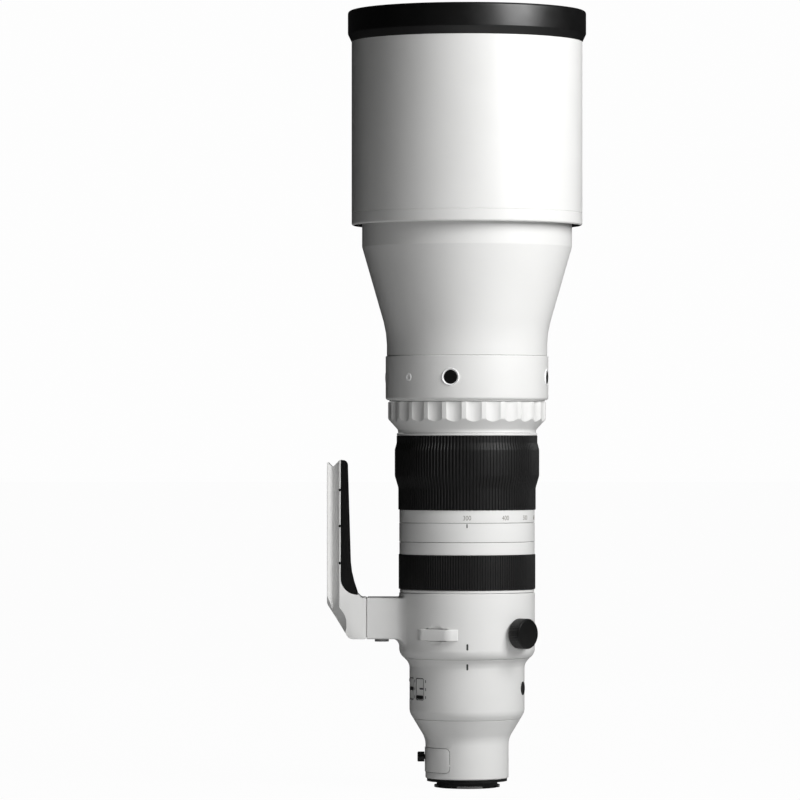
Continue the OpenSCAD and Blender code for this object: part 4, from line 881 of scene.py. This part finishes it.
def hold_rods(r_low, r_high, start, end):
    """One rod or cone at each hold button."""
    return gathered(*[rod(r_low, r_high, start, end, facing(angle, 0, 0, HOLD_Z))
                      for angle in HOLD_ANGLES])


def button_band():
    """Band with a bezel, a bore and a chamfer at each button: the bezel and the chamfer are
    painted paler as a painted reflection, the bore near-black as painted shade.
    """
    bm = turned([
        (50.55, 301.75), (61.8, 301.75, 0.2), (61.8, 302.9), (64.75, 302.9, 2.2),
        (64.75, 337.85, 0.6), (62.35, 337.85), (62.35, 305.9), (50.55, 305.9),
    ], BAND_STEPS)
    bm = carved(bm, hold_rods(7.9, 6.75, 63, 65.2), "UNION", finish=1)
    bm = carved(bm, hold_rods(5.5, 5.5, 60, 68), finish=2)
    return carved(bm, hold_rods(5.4, 6.5, 64.5, 65.3), finish=1)


def hold_button(angle):
    """Round button with a hidden collar and a faintly sunk top."""
    bm = turned([
        (0, 0), (6.3, 0), (6.3, 1.4), (5.3, 1.4), (5.3, 5.05, 0.45), (3, 5.0, 6), (0, 4.9),
    ], BUTTON_STEPS)
    bm.transform(facing(angle, 59.9, 0, HOLD_Z) @ lying())
    return bm


piece("function_grip", function_grip(), [lens_white], "function_ring", smooth=24)
# The band's bezels take a paler white as painted reflection, and its bores near-black as painted
# shade.
piece("button_band_shell", button_band(), [lens_white, bezel_white_and_painted_reflection, recess_painted_shade], "button_band")
for i, angle in enumerate(HOLD_ANGLES, 1):
    piece(f"hold_button_cap_{i}", hold_button(angle), [button_black], f"hold_button_{i}")


# Front barrel and hood

HOOD_SCREW_Z = 456.3


def front_barrel():
    """White cone and front ring, black on the inner walls below and above the cone."""
    bm = turned([
        (61.2, 338.05), (63.8, 338.05, 0.35), (63.8, 356.2, 65), (83.5, 424.7, 3),
        (83.5, 467.9, 0.6), (80.9, 467.9), (80.9, 424.7), (61.2, 356.2),
    ])
    return finished(bm, 1, lambda p: p.xy.length < 61.4 or (p.xy.length < 81.2 and p.z > 424))


def hood():
    """Hood tube with its seam, its inner seat and the clamp screw's hole."""
    bm = turned([
        (89.8, 441.8), (91.8, 441.8, 1.7), (91.8, 451.3), (91.4, 451.6), (91.8, 451.9),
        (91.8, 608.6), (89.8, 608.6), (89.8, 449.8), (86, 449.8), (86, 465.8, 0.5),
        (83.8, 465.8, 0.5), (83.8, 444.8), (89.8, 444.8),
    ])
    # The screw hole's walls take the near-black finish: painted shade.
    bm = carved(bm, rod(2.05, 2.05, 80, 95, facing(180, 0, 0, HOOD_SCREW_Z), 32), finish=2)
    return finished(bm, 1, lambda p: p.xy.length < 90.2)


piece("front_barrel_shell", front_barrel(), [lens_white, baffle_black], "front_barrel")
piece("hood_shell", hood(), [lens_white, hood_flock, recess_painted_shade], "hood_tube")
piece("hood_bumper", turned([
    (91.85, 587.7), (94.8, 594, 2), (94.8, 612.1, 2.2), (88.6, 612.1, 1.4), (88.6, 608.7),
    (91.85, 608.7),
]), [rim_rubber], "hood_rim")
piece("hood_lock_knob", ribbed([
    (0, -7.9), (2, -7.9), (2, 0), (5.9, 0, 0.3), (6.5, 1.2, 0.3), (6.5, 7.2, 0.4),
    (5.8, 8, 0.3), (0, 8),
], 28, 0.3, 6.4, at=facing(180, 92.1, 0, HOOD_SCREW_Z) @ lying()), [knob_black], "hood_screw")


# Marks

INDEX_ANGLE = 0.3
NUMBER_SIZE = 5.2
NUMBER_NARROWING = 0.86
ZOOM_NUMBERS = (("300", 0), ("400", 34.4), ("500", 58.7), ("600", 80.4))


def wrapped(bm, angle, z, radius):
    """Lays a flat shape, X across and Y up, round the lens at a view angle."""
    for v in bm.verts:
        turn = math.radians(angle - 90) + v.co.x / (radius * MM)
        reach = radius * MM + v.co.z
        v.co = Vector((reach * math.cos(turn), reach * math.sin(turn), z * MM + v.co.y))
    return bm


def inlay(corners, block, proud=0.05):
    """A mark that follows a turned surface inside a block."""
    raised = [(r + proud, z, *rounding) for r, z, *rounding in corners]
    return carved(turned(raised), block, "INTERSECT")


def bar_mark(width, height, corner):
    """A flat mark that stands a little out of the surface and a little into it."""
    sunk, proud = 0.1, 0.06
    return prism(rounded_box_outline(width, height, corner),
                 lambda x, y: mm(x, y, -sunk), (0, 0, sunk + proud))


def numeral(text):
    """A flat number with a little thickness, centred."""
    curve = bpy.data.curves.new("number", "FONT")
    curve.body = text
    curve.size = NUMBER_SIZE * MM
    curve.extrude = 0.05 * MM
    curve.align_x = "CENTER"
    curve.align_y = "CENTER"
    obj = bpy.data.objects.new("number", curve)
    bpy.context.scene.collection.objects.link(obj)
    solid = obj.evaluated_get(bpy.context.evaluated_depsgraph_get())
    mesh = bpy.data.meshes.new_from_object(solid)
    bm = bmesh.new()
    bm.from_mesh(mesh)
    bpy.data.meshes.remove(mesh)
    bpy.data.objects.remove(obj)
    bpy.data.curves.remove(curve)
    bm.transform(Matrix.Diagonal((NUMBER_NARROWING, 1, 1, 1)))
    return tidy(bm)


def barrel_marks():
    """Index marks of the index band and the rear barrel, and the switches' marks."""
    marks = [
        wrapped(bar_mark(0.9, 3, 0.2), 0, 203.5, 53.9),
        inlay(BARREL, slab(1.5, 5, 0.7, 45, 50, facing(INDEX_ANGLE, 0, 0, 92.3))),
    ]
    for angle in SWITCH_ANGLES:
        line = facing(angle, 0, 2.1, SWITCH_Z + 0.4)
        marks.append(slab(5.2, 1.3, 0.2, 45.2, 45.45, line))
        for dz in (-SWITCH_REACH, 0, SWITCH_REACH):
            dash = bar_mark(0.7, 2.4, 0.3)
            marks.append(wrapped(dash, angle + 9.5, SWITCH_Z + dz, BARREL_R))
    return gathered(*marks)


def hood_align_ring():
    """Small raised ring that shows where the hood lines up."""
    bm = turned([(1.3, -0.5), (3.3, -0.5), (3.2, 0.05, 0.1), (2.3, 0.5, 0.6), (1.4, 0.05, 0.1)],
                64)
    bm.transform(facing(-45.3, 64.75, 0, HOLD_Z) @ lying())
    return bm


numbers = gathered(*[wrapped(numeral(text), angle, 209.6, 53.8) for text, angle in ZOOM_NUMBERS])
piece("zoom_numbers", numbers, [number_ink], body="zoom_sleeve", slot="black_plastic")
piece("barrel_marks", barrel_marks(), [mark_ink], body="barrel", slot="black_plastic")
piece("collar_mark", wrapped(bar_mark(1.5, 5, 0.7), INDEX_ANGLE, 108.3, COLLAR_R), [mark_ink],
      body="collar", slot="black_plastic")
# The ring's paler white is partly a painted reflection.
piece("hood_align_ring", hood_align_ring(), [white_mark_and_painted_reflection], body="barrel", slot="white_paint")


# Camera, lights and floor

scene = bpy.context.scene
camera_data = bpy.data.cameras.new("camera")
camera_data.sensor_width = 36
camera_data.lens = 231.8
camera_data.shift_x = -0.08375
camera_data.shift_y = 0.05
camera_data.clip_end = 50
camera = bpy.data.objects.new("camera", camera_data)
camera.location = (0, -4.1, 0.2712)
camera.rotation_euler = (math.radians(90), 0, 0)
scene.collection.objects.link(camera)
scene.camera = camera


def lamp(name, azimuth, distance, height, aim, size, power, glossy=True):
    """A soft light at a view angle, turned to a height on the lens. Metres and watts."""
    data = bpy.data.lights.new(name, "AREA")
    data.shape = "RECTANGLE"
    data.size = size[0]
    data.size_y = size[1]
    data.energy = power
    obj = bpy.data.objects.new(name, data)
    turn = math.radians(azimuth - 90)
    obj.location = (distance * math.cos(turn), distance * math.sin(turn), height)
    towards = Vector((0, 0, aim)) - obj.location
    obj.rotation_euler = towards.to_track_quat("-Z", "Y").to_euler()
    obj.visible_camera = False
    obj.visible_glossy = glossy
    scene.collection.objects.link(obj)


lamp("key_softbox", azimuth=49.5, distance=1.0, height=0.92, aim=0.3, size=(0.6, 0.75),
     power=15.1)
lamp("low_fill", azimuth=5, distance=1.0, height=0.16, aim=0.1, size=(0.45, 0.3),
     power=2.6, glossy=False)
lamp("back_fill", azimuth=178, distance=1.8, height=1.0, aim=0.3, size=(0.9, 0.9),
     power=7, glossy=False)

WHITE_SHARE = 0.975
BACKDROP = 0.985
FLOOR_HALF = 30000
FLOOR_Z = -5


def pale_floor():
    """Pale floor that shows white to the camera and keeps a faint shadow."""
    finish = Finish("pale_floor", Roughness=0.9)
    speck = finish.noise(900, 3)
    finish.surface(Base_Color=finish.blend(speck, grey(0.44), grey(0.48)))
    lit = Wire(finish, finish.shader.outputs[0])
    light = finish.node("Emission", {"Color": (1, 1, 1, 1), "Strength": 1.0})
    seen = finish.node("LightPath", out="Is Camera Ray") * WHITE_SHARE
    finish.show(finish.node("MixShader", {0: seen, 1: lit, 2: light}), "Material Output")
    return finish.material


def studio():
    """White to the camera and through glass, and a dim room to every other ray."""
    world = bpy.data.worlds.new("studio")
    world.use_nodes = True
    graph = Graph(world.node_tree)
    graph.tree.nodes.remove(graph.tree.nodes["Background"])
    seen = graph.node("LightPath", out="Is Camera Ray")
    through = graph.node("LightPath", out="Is Transmission Ray")
    gloss = graph.node("LightPath", out="Is Glossy Ray")
    room = graph.node("Background", {"Color": (0.95, 0.98, 1, 1), "Strength": 0.01})
    shine = graph.node("Background", {"Strength": 0.02})
    white = graph.node("Background", {"Color": grey(BACKDROP)})
    dim = graph.node("MixShader", {0: gloss, 1: room, 2: shine})
    shown = graph.node("MixShader", {0: seen | through, 1: dim, 2: white})
    graph.show(shown, "World Output")
    return world


floor_grid = bmesh.new()
bmesh.ops.create_grid(floor_grid, x_segments=1, y_segments=1, size=FLOOR_HALF * MM,
                      matrix=Matrix.Translation(mm(0, 0, FLOOR_Z)))
floor_mesh = bpy.data.meshes.new("floor")
floor_grid.to_mesh(floor_mesh)
floor_grid.free()
floor_mesh.materials.append(pale_floor())
floor = bpy.data.objects.new("floor", floor_mesh)
scene.collection.objects.link(floor)

scene.world = studio()
scene.view_settings.view_transform = "Standard"
